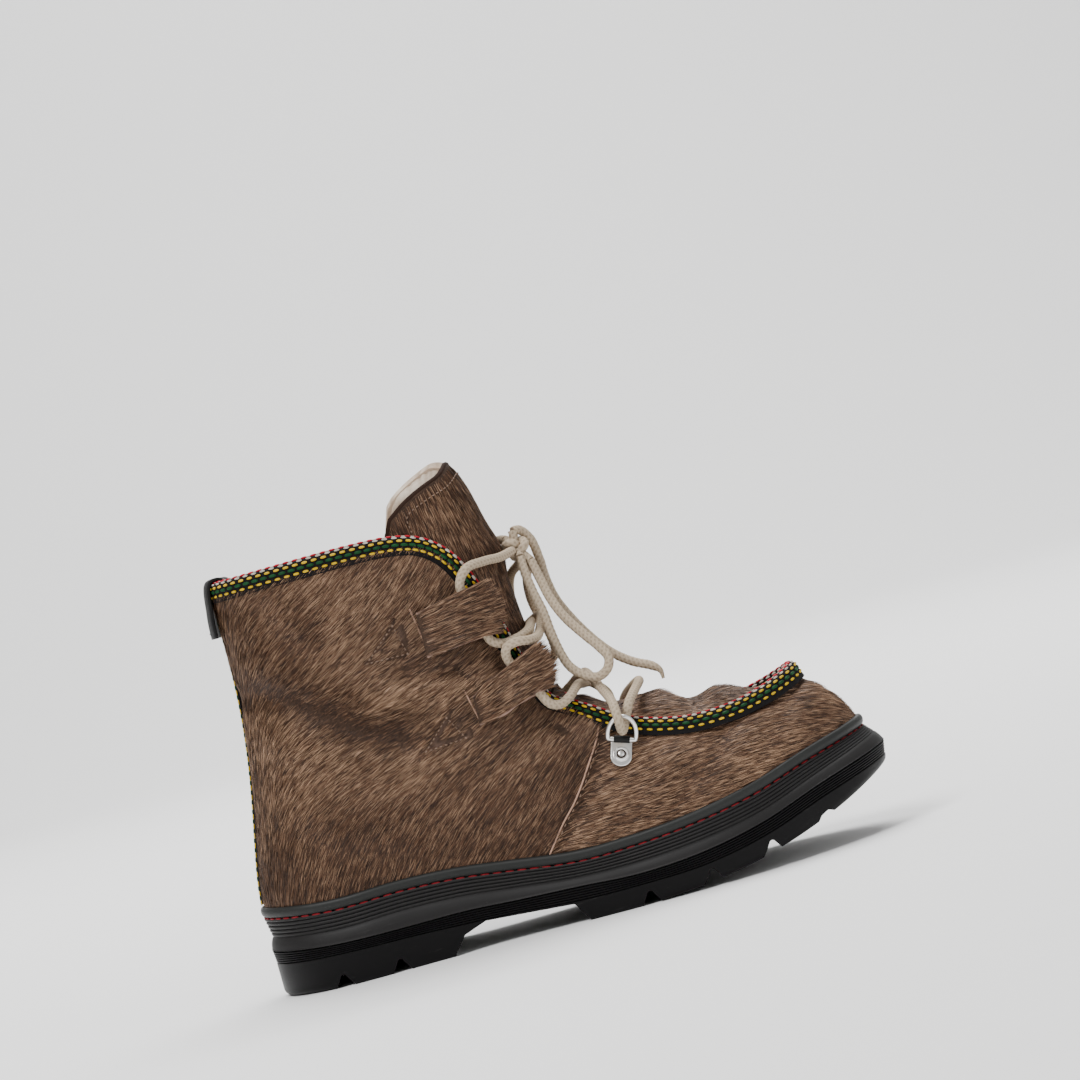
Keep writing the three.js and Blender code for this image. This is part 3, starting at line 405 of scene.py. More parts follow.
def centripetal(points: Sequence[Sequence[float]], step: float) -> Array:
    """Points a step apart on the smooth cord curve that the part's source uses.

    Args:
        points: places that the cord passes.
        step: distance between the points returned.

    Returns:
        The points, evenly spaced.
    """
    given = np.asarray(points, float)
    given = np.vstack([2 * given[0] - given[1], given, 2 * given[-1] - given[-2]])
    dense = []
    for i in range(1, len(given) - 2):
        p0, p1, p2, p3 = given[i - 1:i + 3]
        d0, d1, d2 = (max(np.linalg.norm(b - a) ** 0.5, 1e-4) for a, b in ((p0, p1), (p1, p2), (p2, p3)))
        t1 = ((p1 - p0) / d0 - (p2 - p0) / (d0 + d1) + (p2 - p1) / d1) * d1
        t2 = ((p2 - p1) / d1 - (p3 - p1) / (d1 + d2) + (p3 - p2) / d2) * d1
        t = np.linspace(0, 1, 24, endpoint=False)[:, None]
        dense.append(cubic(t, p1, p2, t1, t2))
    return evenly(np.vstack([*dense, given[-2:-1]]), step)


def along_line(line: Array) -> Array:
    """Distance of each point of a line from its start."""
    return np.concatenate([[0], np.cumsum(np.linalg.norm(np.diff(line, axis=0), axis=1))])


def all_round(count: int) -> Array:
    """Turns spread evenly all round."""
    return np.linspace(0, FULL, count, endpoint=False)


def slab_faces(count: int) -> list[list[int]]:
    """Faces of a slab between two outlines of count corners, the nearer one first."""
    rim = [[i, count + i, count + (i + 1) % count, (i + 1) % count] for i in range(count)]
    return [list(range(count)), list(range(count, 2 * count))[::-1], *rim]


def evenly(line: Array, step: float) -> Array:
    """Points a step apart along a line of points.

    Args:
        line: points along it.
        step: distance wanted.

    Returns:
        The points, evenly spaced.
    """
    place = along_line(line)
    count = max(int(round(place[-1] / step)), 2)
    where = np.linspace(0, place[-1], count + 1)
    return np.stack([np.interp(where, place, line[:, k]) for k in range(3)], 1)


def sweep_frames(line: Array, closed: bool = False) -> tuple[Array, Array, Array]:
    """Tangents and two directions across a line, turned as little as can be.

    Args:
        line: points along it.
        closed: whether the last point runs on into the first.

    Returns:
        Tangents, first and second directions across.
    """
    ahead = unit(np.roll(line, -1, 0) - np.roll(line, 1, 0)) if closed else unit(np.gradient(line, axis=0))
    first = np.zeros_like(line)
    start = np.cross(ahead[0], UP if abs(ahead[0][2]) < 0.9 else np.array([1.0, 0, 0]))
    first[0] = unit(start)
    for i in range(1, len(line)):
        kept = first[i - 1] - ahead[i] * first[i - 1].dot(ahead[i])
        first[i] = unit(kept)
    return ahead, first, np.cross(ahead, first)


def tube(name: str, line: Array, radius: Any, sides: int, material: Material,
         closed: bool = False, relief: Callable[[Array, Array], Array] | None = None,
         soft: float = 60.0) -> Body:
    """A round body along a line.

    Args:
        name: the piece's name.
        line: its middle.
        radius: one for all, or one for each point.
        sides: corners round it.
        material: its finish.
        closed: whether it runs round.
        relief: share of the radius from the distance along and the turn round.
        soft: angle in degrees that is shaded round.

    Returns:
        The new object, with the relief stored as tone.
    """
    _, first, second = sweep_frames(line, closed)
    place = along_line(line)
    angle = all_round(sides)
    radii = np.broadcast_to(np.asarray(radius, float), (len(line),))[:, None]
    share = relief(place[:, None], angle[None, :]) if relief else np.ones((len(line), sides))
    out = first[:, None] * np.cos(angle)[None, :, None] + second[:, None] * np.sin(angle)[None, :, None]
    grid = line[:, None] + out * (radii * share)[..., None]
    rows = len(line)
    faces = grid_faces(rows, sides, True)
    if closed:
        last = (rows - 1) * sides
        faces += [[last + j, last + (j + 1) % sides, (j + 1) % sides, j] for j in range(sides)]
    else:
        faces += [list(range(sides))[::-1], list(range((rows - 1) * sides, rows * sides))]
    obj = mesh_object(name, grid, faces, material, soft)
    paint(obj, "tone", share.ravel())
    return obj


# ---------------------------------------------------------------- nodes


class Value:
    """A socket that takes part in arithmetic: an expression adds its Math nodes."""

    def __init__(self, graph: Graph, socket: bpy.types.NodeSocket) -> None:
        """Wraps a socket of a graph."""
        self.graph, self.socket = graph, socket

    def __add__(self, other: Any) -> Value:
        """Sum."""
        return self.graph.math("ADD", self, other)

    def __sub__(self, other: Any) -> Value:
        """Difference."""
        return self.graph.math("SUBTRACT", self, other)

    def __rsub__(self, other: Any) -> Value:
        """Difference from a number."""
        return self.graph.math("SUBTRACT", other, self)

    def __mul__(self, other: Any) -> Value:
        """Product."""
        return self.graph.math("MULTIPLY", self, other)

    def __pow__(self, other: Any) -> Value:
        """Power."""
        return self.graph.math("POWER", self, other)

    __radd__, __rmul__ = __add__, __mul__


class Graph:
    """Builds a tree of shader or geometry nodes."""

    def __init__(self, tree: bpy.types.NodeTree) -> None:
        """Works on a tree."""
        self.tree = tree

    def node(self, kind: str, settings: dict[str, Any] | None = None,
             inputs: dict[Any, Any] | None = None) -> bpy.types.Node:
        """Adds one node.

        Args:
            kind: the node's type.
            settings: its properties; stops are a ramp's places and colours.
            inputs: values or links by the socket's name or number.

        Returns:
            The node.
        """
        made = self.tree.nodes.new(kind)
        for name, value in (settings or {}).items():
            if name == "stops":
                ramp = made.color_ramp
                while len(ramp.elements) < len(value):
                    ramp.elements.new(0.5)
                for element, (place, colour) in zip(ramp.elements, value):
                    element.position, element.color = place, (*colour, 1.0)
            else:
                setattr(made, name, value)
        for key, value in (inputs or {}).items():
            if isinstance(value, Value):
                self.tree.links.new(value.socket, made.inputs[key])
            elif isinstance(value, bpy.types.NodeSocket):
                self.tree.links.new(value, made.inputs[key])
            else:
                made.inputs[key].default_value = value
        return made

    def value(self, kind: str, settings: dict[str, Any] | None = None, inputs: dict[Any, Any] | None = None,
              output: Any = 0) -> Value:
        """Adds one node and wraps one of its outputs."""
        return Value(self, self.node(kind, settings, inputs).outputs[output])

    def math(self, operation: str, *values: Any) -> Value:
        """Adds a Math node."""
        return self.value("ShaderNodeMath", {"operation": operation}, dict(enumerate(values)))


class Surface(Graph):
    """The nodes of one material, with the few patterns that the finishes share."""

    def __init__(self, name: str) -> None:
        """Starts an empty material.

        Args:
            name: the material's name.
        """
        self.material = bpy.data.materials.new(name)
        self.material.use_nodes = True
        super().__init__(self.material.node_tree)
        self.tree.nodes.clear()
        self.place = self.node("ShaderNodeTexCoord").outputs["Object"]

    def stretched(self, scale: Triple, turn: Triple = (0, 0, 0)) -> Value:
        """Object coordinates, turned in degrees and scaled.

        Args:
            scale: how often the pattern repeats along each axis.
            turn: its turn about each axis.

        Returns:
            The coordinates.
        """
        turned = self.value("ShaderNodeMapping", {"vector_type": "TEXTURE"},
                            {0: self.place, "Rotation": [math.radians(a) for a in turn]})
        return self.value("ShaderNodeMapping", None, {0: turned, "Scale": scale})

    def noise(self, size: float, detail: float = 3.0, roughness: float = 0.6, where: Any = None) -> Value:
        """Noise from 0 to 1 with lumps of about size millimetres, or of one unit of where.

        Args:
            size: size of a lump.
            detail: finer layers.
            roughness: their strength.
            where: other coordinates.

        Returns:
            The noise.
        """
        scale = 1.0 if where is not None else 1 / (size * MM)
        return self.value("ShaderNodeTexNoise", None, {
            "Vector": where if where is not None else self.place, "Scale": scale,
            "Detail": detail, "Roughness": roughness})

    def attribute(self, name: str) -> Value:
        """A number stored on the mesh."""
        return self.value("ShaderNodeAttribute", {"attribute_name": name}, output="Fac")

    def ramp(self, factor: Any, *stops: tuple[float, Sequence[float]]) -> Value:
        """Colours along a factor."""
        return self.value("ShaderNodeValToRGB", {"stops": stops}, {0: factor})

    def mix(self, factor: Any, a: Any, b: Any, how: str = "MIX") -> Value:
        """Mixes two colours."""
        a, b = (c if isinstance(c, (Value, bpy.types.NodeSocket)) else (*c, 1.0) for c in (a, b))
        return self.value("ShaderNodeMix", {"data_type": "RGBA", "blend_type": how}, {0: factor, 6: a, 7: b}, 2)

    def bump(self, height: Any, distance: float, strength: float = 1.0) -> Value:
        """A bump of that many millimetres."""
        return self.value("ShaderNodeBump", None, {"Height": height, "Distance": distance * MM, "Strength": strength})

    def finish(self, **sockets: Any) -> Material:
        """Closes the material with a Principled shader; names have _ for spaces.

        Args:
            sockets: values or links of the shader's sockets.

        Returns:
            The material.
        """
        inputs = {}
        for name, value in sockets.items():
            if isinstance(value, tuple):
                value = (*value, 1.0)
            inputs[name.replace("_", " ")] = value
        shader = self.node("ShaderNodeBsdfPrincipled", None, inputs)
        self.node("ShaderNodeOutputMaterial", None, {"Surface": shader.outputs[0]})
        return self.material


def srgb(red: float, green: float, blue: float) -> Triple:
    """A colour of a screen, 0 to 255, as linear light.

    Args:
        red: its red.
        green: its green.
        blue: its blue.

    Returns:
        Red, green and blue.
    """
    def linear(c: float) -> float:
        """One channel."""
        c /= 255
        return c / 12.92 if c <= 0.04045 else ((c + 0.055) / 1.055) ** 2.4
    return linear(red), linear(green), linear(blue)


@dataclass(frozen=True)
class CalfHair:
    """Short hair of the calf hide: dark roots, tawny lengths and pale tips, toned by painted shade stored on its skin.
    """

    dark: Triple = srgb(48, 33, 24)
    middle: Triple = srgb(99, 69, 49)
    pale: Triple = srgb(184, 149, 119)

    def build(self) -> Material:
        """Makes the material of the blades.

        Returns:
            The material.
        """
        s = Surface("calf_hair")
        patch = s.noise(1, 2.0, 0.5, s.stretched((24, 60, 60), (0, -28, 0)))
        # The stored shade is painted shade that darkens or lightens the hair of each skin.
        tone = s.attribute("tone") * 1.25 + patch * 0.5 + s.attribute("shade") - 0.395
        along = s.attribute("tip")
        colour = s.ramp(tone, (0.1, self.dark), (0.5, self.middle), (0.95, self.pale))
        rooted = s.mix((1 - along) * 0.42, colour, self.dark)
        return s.finish(Base_Color=rooted, Roughness=0.6 - patch * 0.12, Specular_IOR_Level=0.25)


@dataclass(frozen=True)
class CalfSkin:
    """The hide under the hair, with the shadow of its roots."""

    turn: float = 30.0
    dark: Triple = srgb(34, 24, 18)
    pale: Triple = srgb(80, 60, 47)
    bare: Triple = srgb(150, 122, 108)

    def build(self) -> Material:
        """Makes the material of the hide.

        Returns:
            The material.
        """
        s = Surface("calf_hide")
        streak = s.noise(1, 4.0, 0.7, s.stretched((180, 900, 1500), (0, -self.turn, 0)))
        colour = s.mix(s.attribute("bare"), s.ramp(streak, (0.3, self.dark), (0.75, self.pale)), self.bare)
        return s.finish(Base_Color=colour, Roughness=0.8, Specular_IOR_Level=0.2, Normal=s.bump(streak, 0.5))


@dataclass(frozen=True)
class Rubber:
    """Black sole rubber, with a little bloom and fine scuffs."""

    name: str
    colour: Triple
    roughness: float
    bloom: float = 0.5
    gloss: float = 0.12

    def build(self) -> Material:
        """Makes the material.

        Returns:
            The material.
        """
        s = Surface(self.name)
        cloud = s.noise(18, 4.0)
        grain = s.noise(0.35, 2.0)
        scuff = s.ramp(s.noise(1, 5.0, 0.75, s.stretched((60, 60, 500))), (0.62, (0, 0, 0)), (0.72, (1, 1, 1)))
        bright = tuple(c * (1 + 1.6 * self.bloom) + 0.004 for c in self.colour)
        colour = s.mix(cloud * self.bloom, self.colour, bright)
        colour = s.mix(scuff.graph.math("MULTIPLY", scuff, 0.16), colour, srgb(92, 90, 88))
        return s.finish(Base_Color=colour, Roughness=self.roughness + (cloud - 0.5) * 0.22,
                        Specular_IOR_Level=self.gloss, Normal=s.bump(grain, 0.05, 0.5))


@dataclass(frozen=True)
class Yarn:
    """A strand of the woven tape or a sewing thread."""

    name: str
    colour: Triple
    gloss: float = 0.55

    def build(self) -> Material:
        """Makes the material.

        Returns:
            The material.
        """
        s = Surface(self.name)
        fibre = s.noise(0.25, 3.0, 0.7)
        shade = s.attribute("tone")
        dark = tuple(c * 0.45 for c in self.colour)
        colour = s.mix(fibre * 0.8 + shade * 0.35 - 0.1, dark, self.colour)
        return s.finish(Base_Color=colour, Roughness=self.gloss, Specular_IOR_Level=0.2, Normal=s.bump(fibre, 0.12))


@dataclass(frozen=True)
class Fleece:
    """Sheared wool: cream curls, darker towards the hide by painted shade in the hollows between its lumps."""

    name: str
    pale: Triple
    deep: Triple

    def build(self) -> Material:
        """Makes the material.

        Returns:
            The material.
        """
        s = Surface(self.name)
        curl = s.value("ShaderNodeTexVoronoi", {"feature": "SMOOTH_F1"},
                       {"Vector": s.place, "Scale": 420, "Smoothness": 0.6}, "Distance")
        fuzz = s.noise(0.7, 4.0, 0.75)
        # Where tone follows the lumps' height, the deep colour is painted shade in the hollows.
        height = s.attribute("tone")
        colour = s.mix(height * 0.7 + fuzz * 0.5, self.deep, self.pale)
        return s.finish(Base_Color=colour, Roughness=0.95, Specular_IOR_Level=0.15,
                        Normal=s.bump(curl * 0.5 + fuzz, 0.9, 0.8))


@dataclass(frozen=True)
class Cotton:
    """Braided cotton lace, off-white and a little soiled, with painted shade between its strands."""

    pale: Triple = srgb(196, 178, 154)
    deep: Triple = srgb(88, 70, 55)

    def build(self) -> Material:
        """Makes the material.

        Returns:
            The material.
        """
        s = Surface("braided_cotton")
        fibre = s.noise(0.4, 4.0, 0.75)
        strand = s.attribute("tone")
        # Painted shade between the braid's strands and painted light on their tops, from the relief stored as tone.
        lit = s.math("MULTIPLY_ADD", strand, 4.5, -3.55)
        cloud = s.noise(14, 2.0)
        colour = s.mix(s.math("MULTIPLY", lit, 0.62) + fibre * 0.45 + cloud * 0.12, self.deep, self.pale)
        return s.finish(Base_Color=colour, Roughness=0.9, Specular_IOR_Level=0.2, Normal=s.bump(fibre, 0.25))


@dataclass(frozen=True)
class Leather:
    """Smooth leather with a fine grain."""

    name: str
    colour: Triple
    roughness: float = 0.45
    gloss: float = 0.2

    def build(self) -> Material:
        """Makes the material.

        Returns:
            The material.
        """
        s = Surface(self.name)
        cell = s.value("ShaderNodeTexVoronoi", None, {"Vector": s.place, "Scale": 1300}, "Distance")
        cloud = s.noise(9, 4.0)
        lighter = tuple(min(c * 1.4 + 0.002, 1) for c in self.colour)
        return s.finish(Base_Color=s.mix(cloud, self.colour, lighter), Roughness=self.roughness + cell * 0.15,
                        Specular_IOR_Level=self.gloss, Normal=s.bump(cell, 0.08, 0.7))


@dataclass(frozen=True)
class Nickel:
    """Bright nickel plate with fine wear."""

    name: str = "nickel_plate"
    colour: Triple = (0.93, 0.92, 0.9)
    roughness: float = 0.24

    def build(self) -> Material:
        """Makes the material.

        Returns:
            The material.
        """
        s = Surface(self.name)
        wear = s.noise(0.8, 5.0, 0.7)
        tint = s.mix(wear * 0.4, self.colour, tuple(c * 0.7 for c in self.colour))
        return s.finish(Base_Color=tint, Metallic=1.0, Roughness=self.roughness + wear * 0.16,
                        Normal=s.bump(wear, 0.02, 0.4))


# ---------------------------------------------------------------- repeats by Geometry Nodes


class Scatter(Graph):
    """A tree that sets one small thing on many points and ends in one mesh."""

    def __init__(self, name: str, inputs: dict[str, str]) -> None:
        """Starts the tree with its named inputs.

        Args:
            name: the tree's name.
            inputs: the kind of each socket by its name.
        """
        tree = bpy.data.node_groups.new(name, "GeometryNodeTree")
        for key, kind in inputs.items():
            tree.interface.new_socket(key, in_out="INPUT", socket_type=f"NodeSocket{kind}")
        tree.interface.new_socket("Made", in_out="OUTPUT", socket_type="NodeSocketGeometry")
        super().__init__(tree)
        self.given = self.node("NodeGroupInput").outputs

    def named(self, name: str, kind: str = "FLOAT_VECTOR") -> Value:
        """An attribute stored on the mesh."""
        return self.value("GeometryNodeInputNamedAttribute", {"data_type": kind}, {"Name": name})

    def asked(self, name: str) -> Value:
        """One of the tree's inputs."""
        return Value(self, self.given[name])

    def random(self, low: float, high: float, seed: Any) -> Value:
        """A random number for each point."""
        return self.value("FunctionNodeRandomValue", {"data_type": "FLOAT"}, {2: low, 3: high, "Seed": seed}, 1)

    def lumps(self, scale: float) -> Value:
        """Noise over the surface, with so many lumps to the metre.

        Args:
            scale: lumps to the metre.

        Returns:
            The noise.
        """
        where = self.node("GeometryNodeInputPosition").outputs[0]
        return self.value("ShaderNodeTexNoise", {"noise_dimensions": "3D"},
                          {"Vector": where, "Scale": scale, "Detail": 1.0})

    def turned(self, way: Any, axis: Any, angle: Value) -> Value:
        """A direction turned about an axis."""
        return self.value("ShaderNodeVectorRotate", {"rotation_type": "AXIS_ANGLE"},
                          {"Vector": way, "Axis": axis, "Angle": angle})

    def close(self, points: Any, axis: str, along: Value, up: Value, size: Value, tone: Value) -> None:
        """Sets the thing on the points and ends the tree.

        Args:
            points: where.
            axis: the thing's own axis that runs along.
            along: the way that axis points.
            up: the way its Z points.
            size: its size along each axis.
            tone: a number from 0 to 1 that its finish reads.
        """
        way = self.value("FunctionNodeAxesToRotation", {"primary_axis": axis, "secondary_axis": "Z"},
                         {0: along, 1: up})
        thing = self.node("GeometryNodeObjectInfo", None, {"Object": self.given["Thing"]}).outputs["Geometry"]
        row = self.node("GeometryNodeInstanceOnPoints", None,
                        {"Points": points, "Instance": thing, "Rotation": way, "Scale": size})
        toned = self.node("GeometryNodeStoreNamedAttribute", {"data_type": "FLOAT", "domain": "INSTANCE"},
                          {"Geometry": row.outputs[0], "Name": "tone", "Value": tone})
        real = self.node("GeometryNodeRealizeInstances", None, {0: toned.outputs[0]})
        dressed = self.node("GeometryNodeSetMaterial", None,
                            {"Geometry": real.outputs[0], "Material": self.given["Finish"]})
        self.node("NodeGroupOutput", None, {0: dressed.outputs[0]})

    def run(self, holder: Body, values: dict[str, Any], name: str) -> Body:
        """Runs the tree on an object and keeps the result as a plain mesh.

        Args:
            holder: the object that carries the modifier; it is removed.
            values: inputs by their names.
            name: the result's name.

        Returns:
            The new object.
        """
        modifier = holder.modifiers.new("tree", "NODES")
        modifier.node_group = self.tree
        for item in self.tree.interface.items_tree:
            if item.in_out == "INPUT" and item.name in values:
                modifier[item.identifier] = values[item.name]
        return evaluated(holder, name)


@cache
def hair_tree() -> Scatter:
    """The tree that lays hair along the flow stored on a skin: locks, whorls and single blades.

    Returns:
        The tree, made once.
    """
    g = Scatter("lay_hair", {"Skin": "Geometry", "Thing": "Object", "Density": "Float", "Size": "Vector",
                             "Swing": "Float", "Roll": "Float", "Seed": "Int", "Finish": "Material"})

    def random(low: float, high: float, add: int) -> Value:
        """A random number that moves with the tree's seed."""
        return g.random(low, high, g.asked("Seed") + add)

    cover = g.asked("Density") * g.named("cover", "FLOAT")
    spread = g.node("GeometryNodeDistributePointsOnFaces", {"distribute_method": "RANDOM"},
                    {"Mesh": g.given["Skin"], "Density": cover, "Seed": g.given["Seed"]})
    normal = spread.outputs["Normal"]
    lock, whorl = g.lumps(240.0), g.lumps(38.0)
    turn = random(-1, 1, 3) * 0.8 + (lock - 0.5) * 2.2 + (whorl - 0.5) * 3.0
    along = g.turned(g.named("flow"), normal, turn * g.asked("Swing"))
    rolled = g.turned(normal, along, random(-1, 1, 5) * g.asked("Roll"))
    grown = random(0.65, 1.2, 7) * g.named("fur", "FLOAT")
    size = g.value("ShaderNodeVectorMath", {"operation": "SCALE"}, {0: g.given["Size"], "Scale": grown})
    g.close(spread.outputs["Points"], "Y", along, rolled, size, random(0.05, 0.95, 11) * 0.76 + lock * 0.24)
    return g


@cache
def row_tree() -> Scatter:
    """The tree that sets one thing on each point, as its attributes say.

    Returns:
        The tree, made once.
    """
    g = Scatter("set_along", {"Points": "Geometry", "Thing": "Object", "Finish": "Material"})
    g.close(g.given["Points"], "X", g.named("along"), g.named("up"), g.named("size"), g.random(0.0, 1.0, 5))
    return g


@dataclass
class Pelt:
    """How hair grows: blades to the square millimetre, their size in millimetres and their disorder."""

    density: float = 2.5
    length: float = 7.0
    width: float = 0.42
    height: float = 1.0
    swing: float = 0.1
    roll: float = 0.55
    seed: int = 1

    def lay(self, name: str, skin: Body, blade: Body, material: Material,
            layers: dict[str, Array]) -> Body:
        """Lays hair on a skin.

        Args:
            name: the new piece's name.
            skin: the sheet that it grows on; it is removed.
            blade: one hair, a unit long along Y.
            material: the hair's finish.
            layers: for each point the flow, the cover and fur as shares, and any painted shade.

        Returns:
            The hair as a plain mesh.
        """
        for layer, values in layers.items():
            paint(skin, layer, values)
        size = (self.width * MM, self.length * MM, self.length * self.height * MM)
        return hair_tree().run(skin, {"Thing": blade, "Density": self.density * 1e6, "Size": size, "Finish": material,
                                      "Swing": self.swing, "Roll": self.roll, "Seed": self.seed}, name)


class Shapes:
    """Single hairs and stitches that the repeats are made from. They aren't pieces of the boot."""

    def __init__(self) -> None:
        """Makes them and keeps them out of the scene's collection."""
        self.blade = self.hair("one_hair", ((0, 0.5, -0.03), (0.55, 0.42, 0.07), (1, 0, 0.1)))
        self.curl = self.hair("one_curl", ((0, 0.5, -0.1), (0.35, 0.45, 0.3), (0.75, 0.35, 0.32), (1, 0, 0.05)))
        self.dash = self.pill("one_dash", 4, 5)
        self.all = [self.blade, self.curl, self.dash]

    @staticmethod
    def keep(name: str, points: Sequence[Sequence[float]], faces: Sequence[Sequence[int]]) -> Body:
        """Makes a mesh object outside the scene.

        Args:
            name: the shape's name.
            points: its corners.
            faces: corners of each face.

        Returns:
            The object.
        """
        mesh = bpy.data.meshes.new(name)
        mesh.from_pydata([tuple(p) for p in points], [], [list(f) for f in faces])
        mesh.update()
        return bpy.data.objects.new(name, mesh)

    def hair(self, name: str, rows: Sequence[Triple]) -> Body:
        """A tapering blade: rows of how far along, half its width and how high.

        Args:
            name: the shape's name.
            rows: how far along, half the width and the height of each row.

        Returns:
            The object.
        """
        points, faces, tips = [], [], []
        for along, half, high in rows[:-1]:
            points += [(-half, along, high), (half, along, high)]
            tips += [along, along]
        for i in range(len(rows) - 2):
            faces.append([2 * i, 2 * i + 1, 2 * i + 3, 2 * i + 2])
        points.append((0, rows[-1][0], rows[-1][2]))
        tips.append(1.0)
        last = len(points) - 1
        faces.append([last - 2, last - 1, last])
        obj = self.keep(name, points, faces)
        paint(obj, "tip", np.array(tips))
        return obj

    def pill(self, name: str, rings: int, sides: int) -> Body:
        """A rounded stitch, one unit long, wide and high.

        Args:
            name: the shape's name.
            rings: rings along it.
            sides: corners round it.

        Returns:
            The object.
        """
        points, faces = [], []
        for i in range(rings):
            swing = math.pi * (i + 0.5) / rings
            along, radius = -0.5 * math.cos(swing), 0.5 * math.sin(swing) ** 0.6
            for j in range(sides):
                angle = FULL * j / sides
                points.append((along, radius * math.cos(angle), radius * math.sin(angle)))
        faces = grid_faces(rings, sides, True, flip=True)
        faces += [list(range(sides)), list(range((rings - 1) * sides, rings * sides))[::-1]]
        obj = self.keep(name, points, faces)
        obj.data.shade_smooth()
        return obj


# ---------------------------------------------------------------- the boot's form


@dataclass
class Last:
    """The form of the boot, from the same tables as its solids."""

    # at, lateral, medial
    plan: tuple = ((0, 0, 0), (0.03, 0.205, 0.205), (0.08, 0.31, 0.31), (0.15, 0.355, 0.355), (0.25, 0.362, 0.355),
                   (0.35, 0.378, 0.333), (0.45, 0.412, 0.325), (0.55, 0.457, 0.368), (0.65, 0.493, 0.44),
                   (0.73, 0.497, 0.485), (0.8, 0.465, 0.488), (0.88, 0.375, 0.435), (0.94, 0.258, 0.34),
                   (0.98, 0.125, 0.212), (1, -0.04, 0.04))
    # at, rand, ledge, foot, lug
    levels: tuple = (
        (0, 1, 0.66, 0.515, 0.383), (0.12, 0.935, 0.61, 0.46, 0.355), (0.22, 0.942, 0.622, 0.445, 0.338),
        (0.31, 0.91, 0.6, 0.44, 0.31), (0.39, 0.838, 0.542, 0.407, 0.28), (0.49, 0.75, 0.478, 0.375, 0.233),
        (0.58, 0.757, 0.47, 0.345, 0.232), (0.68, 0.82, 0.52, 0.392, 0.262), (0.78, 0.938, 0.63, 0.522, 0.385),
        (0.88, 1.107, 0.825, 0.725, 0.585), (1, 1.245, 1.03, 0.91, 0.775))
    # heel, side, toe
    setbacks: dict = field(default_factory=lambda: {
        "rand": (0.02, 0.32, 0.84), "ledge": (0.22, 0.27, 0.4), "foot": (0, 0, 0),
        "lug": (0.05, 0.1, 0.12), "sole": (0.5, 0.32, 0.5)})
    # at, x, lateral, medial, z, footOut, footUp, topOut, topDown, topBack
    edge: tuple = (
        (0, 0.064, 0, 0, 0.961, -0.005, 0.22, -0.042, 0.53, 0),
        (0.03, 0.067, 0.131, 0.131, 0.961, 0, 0.24, -0.03, 0.5, 0),
        (0.09, 0.102, 0.262, 0.262, 0.96, 0.01, 0.27, -0.012, 0.45, 0),
        (0.15, 0.158, 0.336, 0.336, 0.96, 0.02, 0.3, -0.005, 0.4, 0),
        (0.22, 0.222, 0.368, 0.368, 0.96, 0.025, 0.3, 0, 0.38, 0),
        (0.29, 0.284, 0.37, 0.37, 0.959, 0.022, 0.32, 0.006, 0.36, 0),
        (0.36, 0.346, 0.347, 0.347, 0.953, 0.018, 0.34, 0.014, 0.36, 0.008),
        (0.415, 0.389, 0.321, 0.321, 0.934, 0.016, 0.38, 0.02, 0.33, 0.02),
        (0.455, 0.42, 0.301, 0.301, 0.888, 0.014, 0.42, 0.024, 0.26, 0.045),
        (0.485, 0.441, 0.29, 0.29, 0.815, 0.014, 0.45, 0.03, 0.17, 0.06),
        (0.51, 0.459, 0.283, 0.283, 0.72, 0.014, 0.48, 0.038, 0.13, 0.058),
        (0.535, 0.478, 0.279, 0.279, 0.615, 0.015, 0.5, 0.05, 0.12, 0.045),
        (0.56, 0.505, 0.278, 0.278, 0.515, 0.016, 0.5, 0.066, 0.13, 0.024),
        (0.59, 0.54, 0.286, 0.288, 0.474, 0.018, 0.48, 0.08, 0.14, 0.008),
        (0.65, 0.613, 0.3, 0.31, 0.398, 0.018, 0.45, 0.088, 0.15, 0),
        (0.72, 0.698, 0.304, 0.319, 0.358, 0.016, 0.45, 0.088, 0.16, 0),
        (0.8, 0.775, 0.279, 0.3, 0.354, 0.014, 0.44, 0.082, 0.17, 0),
        (0.88, 0.84, 0.2, 0.234, 0.37, 0.01, 0.42, 0.076, 0.18, 0),
        (0.95, 0.885, 0.095, 0.137, 0.392, 0.006, 0.38, 0.07, 0.18, 0),
        (1, 0.9, -0.025, 0.025, 0.403, 0.004, 0.34, 0.068, 0.18, 0))
    # x, z
    side_seam: tuple = ((0.6, 0.52), (0.574, 0.412), (0.553, 0.36), (0.515, 0.278), (0.486, 0.23), (0.43, 0.12))

    def __post_init__(self) -> None:
        """Turns the tables into curves."""
        self.plan_y = self.around(self.plan, 1, 2, -1)
        self.edge_x = self.around(self.edge, 1)
        self.edge_y = self.around(self.edge, 2, 3, -1)
        self.edge_z = self.around(self.edge, 4)
        self.shape = {name: self.around(self.edge, 5 + k) for k, name in
                      enumerate(("foot_out", "foot_up", "top_out", "top_down", "top_back"))}
        at = [row[0] for row in self.levels]
        self.level = {name: Curve(at, [STACK * row[1 + k] for row in self.levels])
                      for k, name in enumerate(("rand", "ledge", "foot", "lug"))}
        seam = np.array(self.side_seam)[::-1] * (LENGTH, COLLAR)
        self.seam_x = Curve(seam[:, 1], seam[:, 0])
        self.tables: dict[Side, tuple] = {}

    @staticmethod
    def around(rows: Sequence[Sequence[float]], lateral: int, medial: int | None = None, flip: int = 1) -> Curve:
        """A column of a table round the boot, lateral side first.

        Args:
            rows: the table.
            lateral: its column for the lateral side.
            medial: its column for the medial side.
            flip: -1 turns the lateral side's sign.

        Returns:
            The curve over the turn.
        """
        medial = lateral if medial is None else medial
        inner = list(rows[1:-1])[::-1]
        knots = [*(turn_of(r[0]) for r in rows), *(FULL - turn_of(r[0]) for r in inner)]
        values = [*(flip * r[lateral] for r in rows), *(r[medial] for r in inner)]
        return Curve(knots, values, FULL)

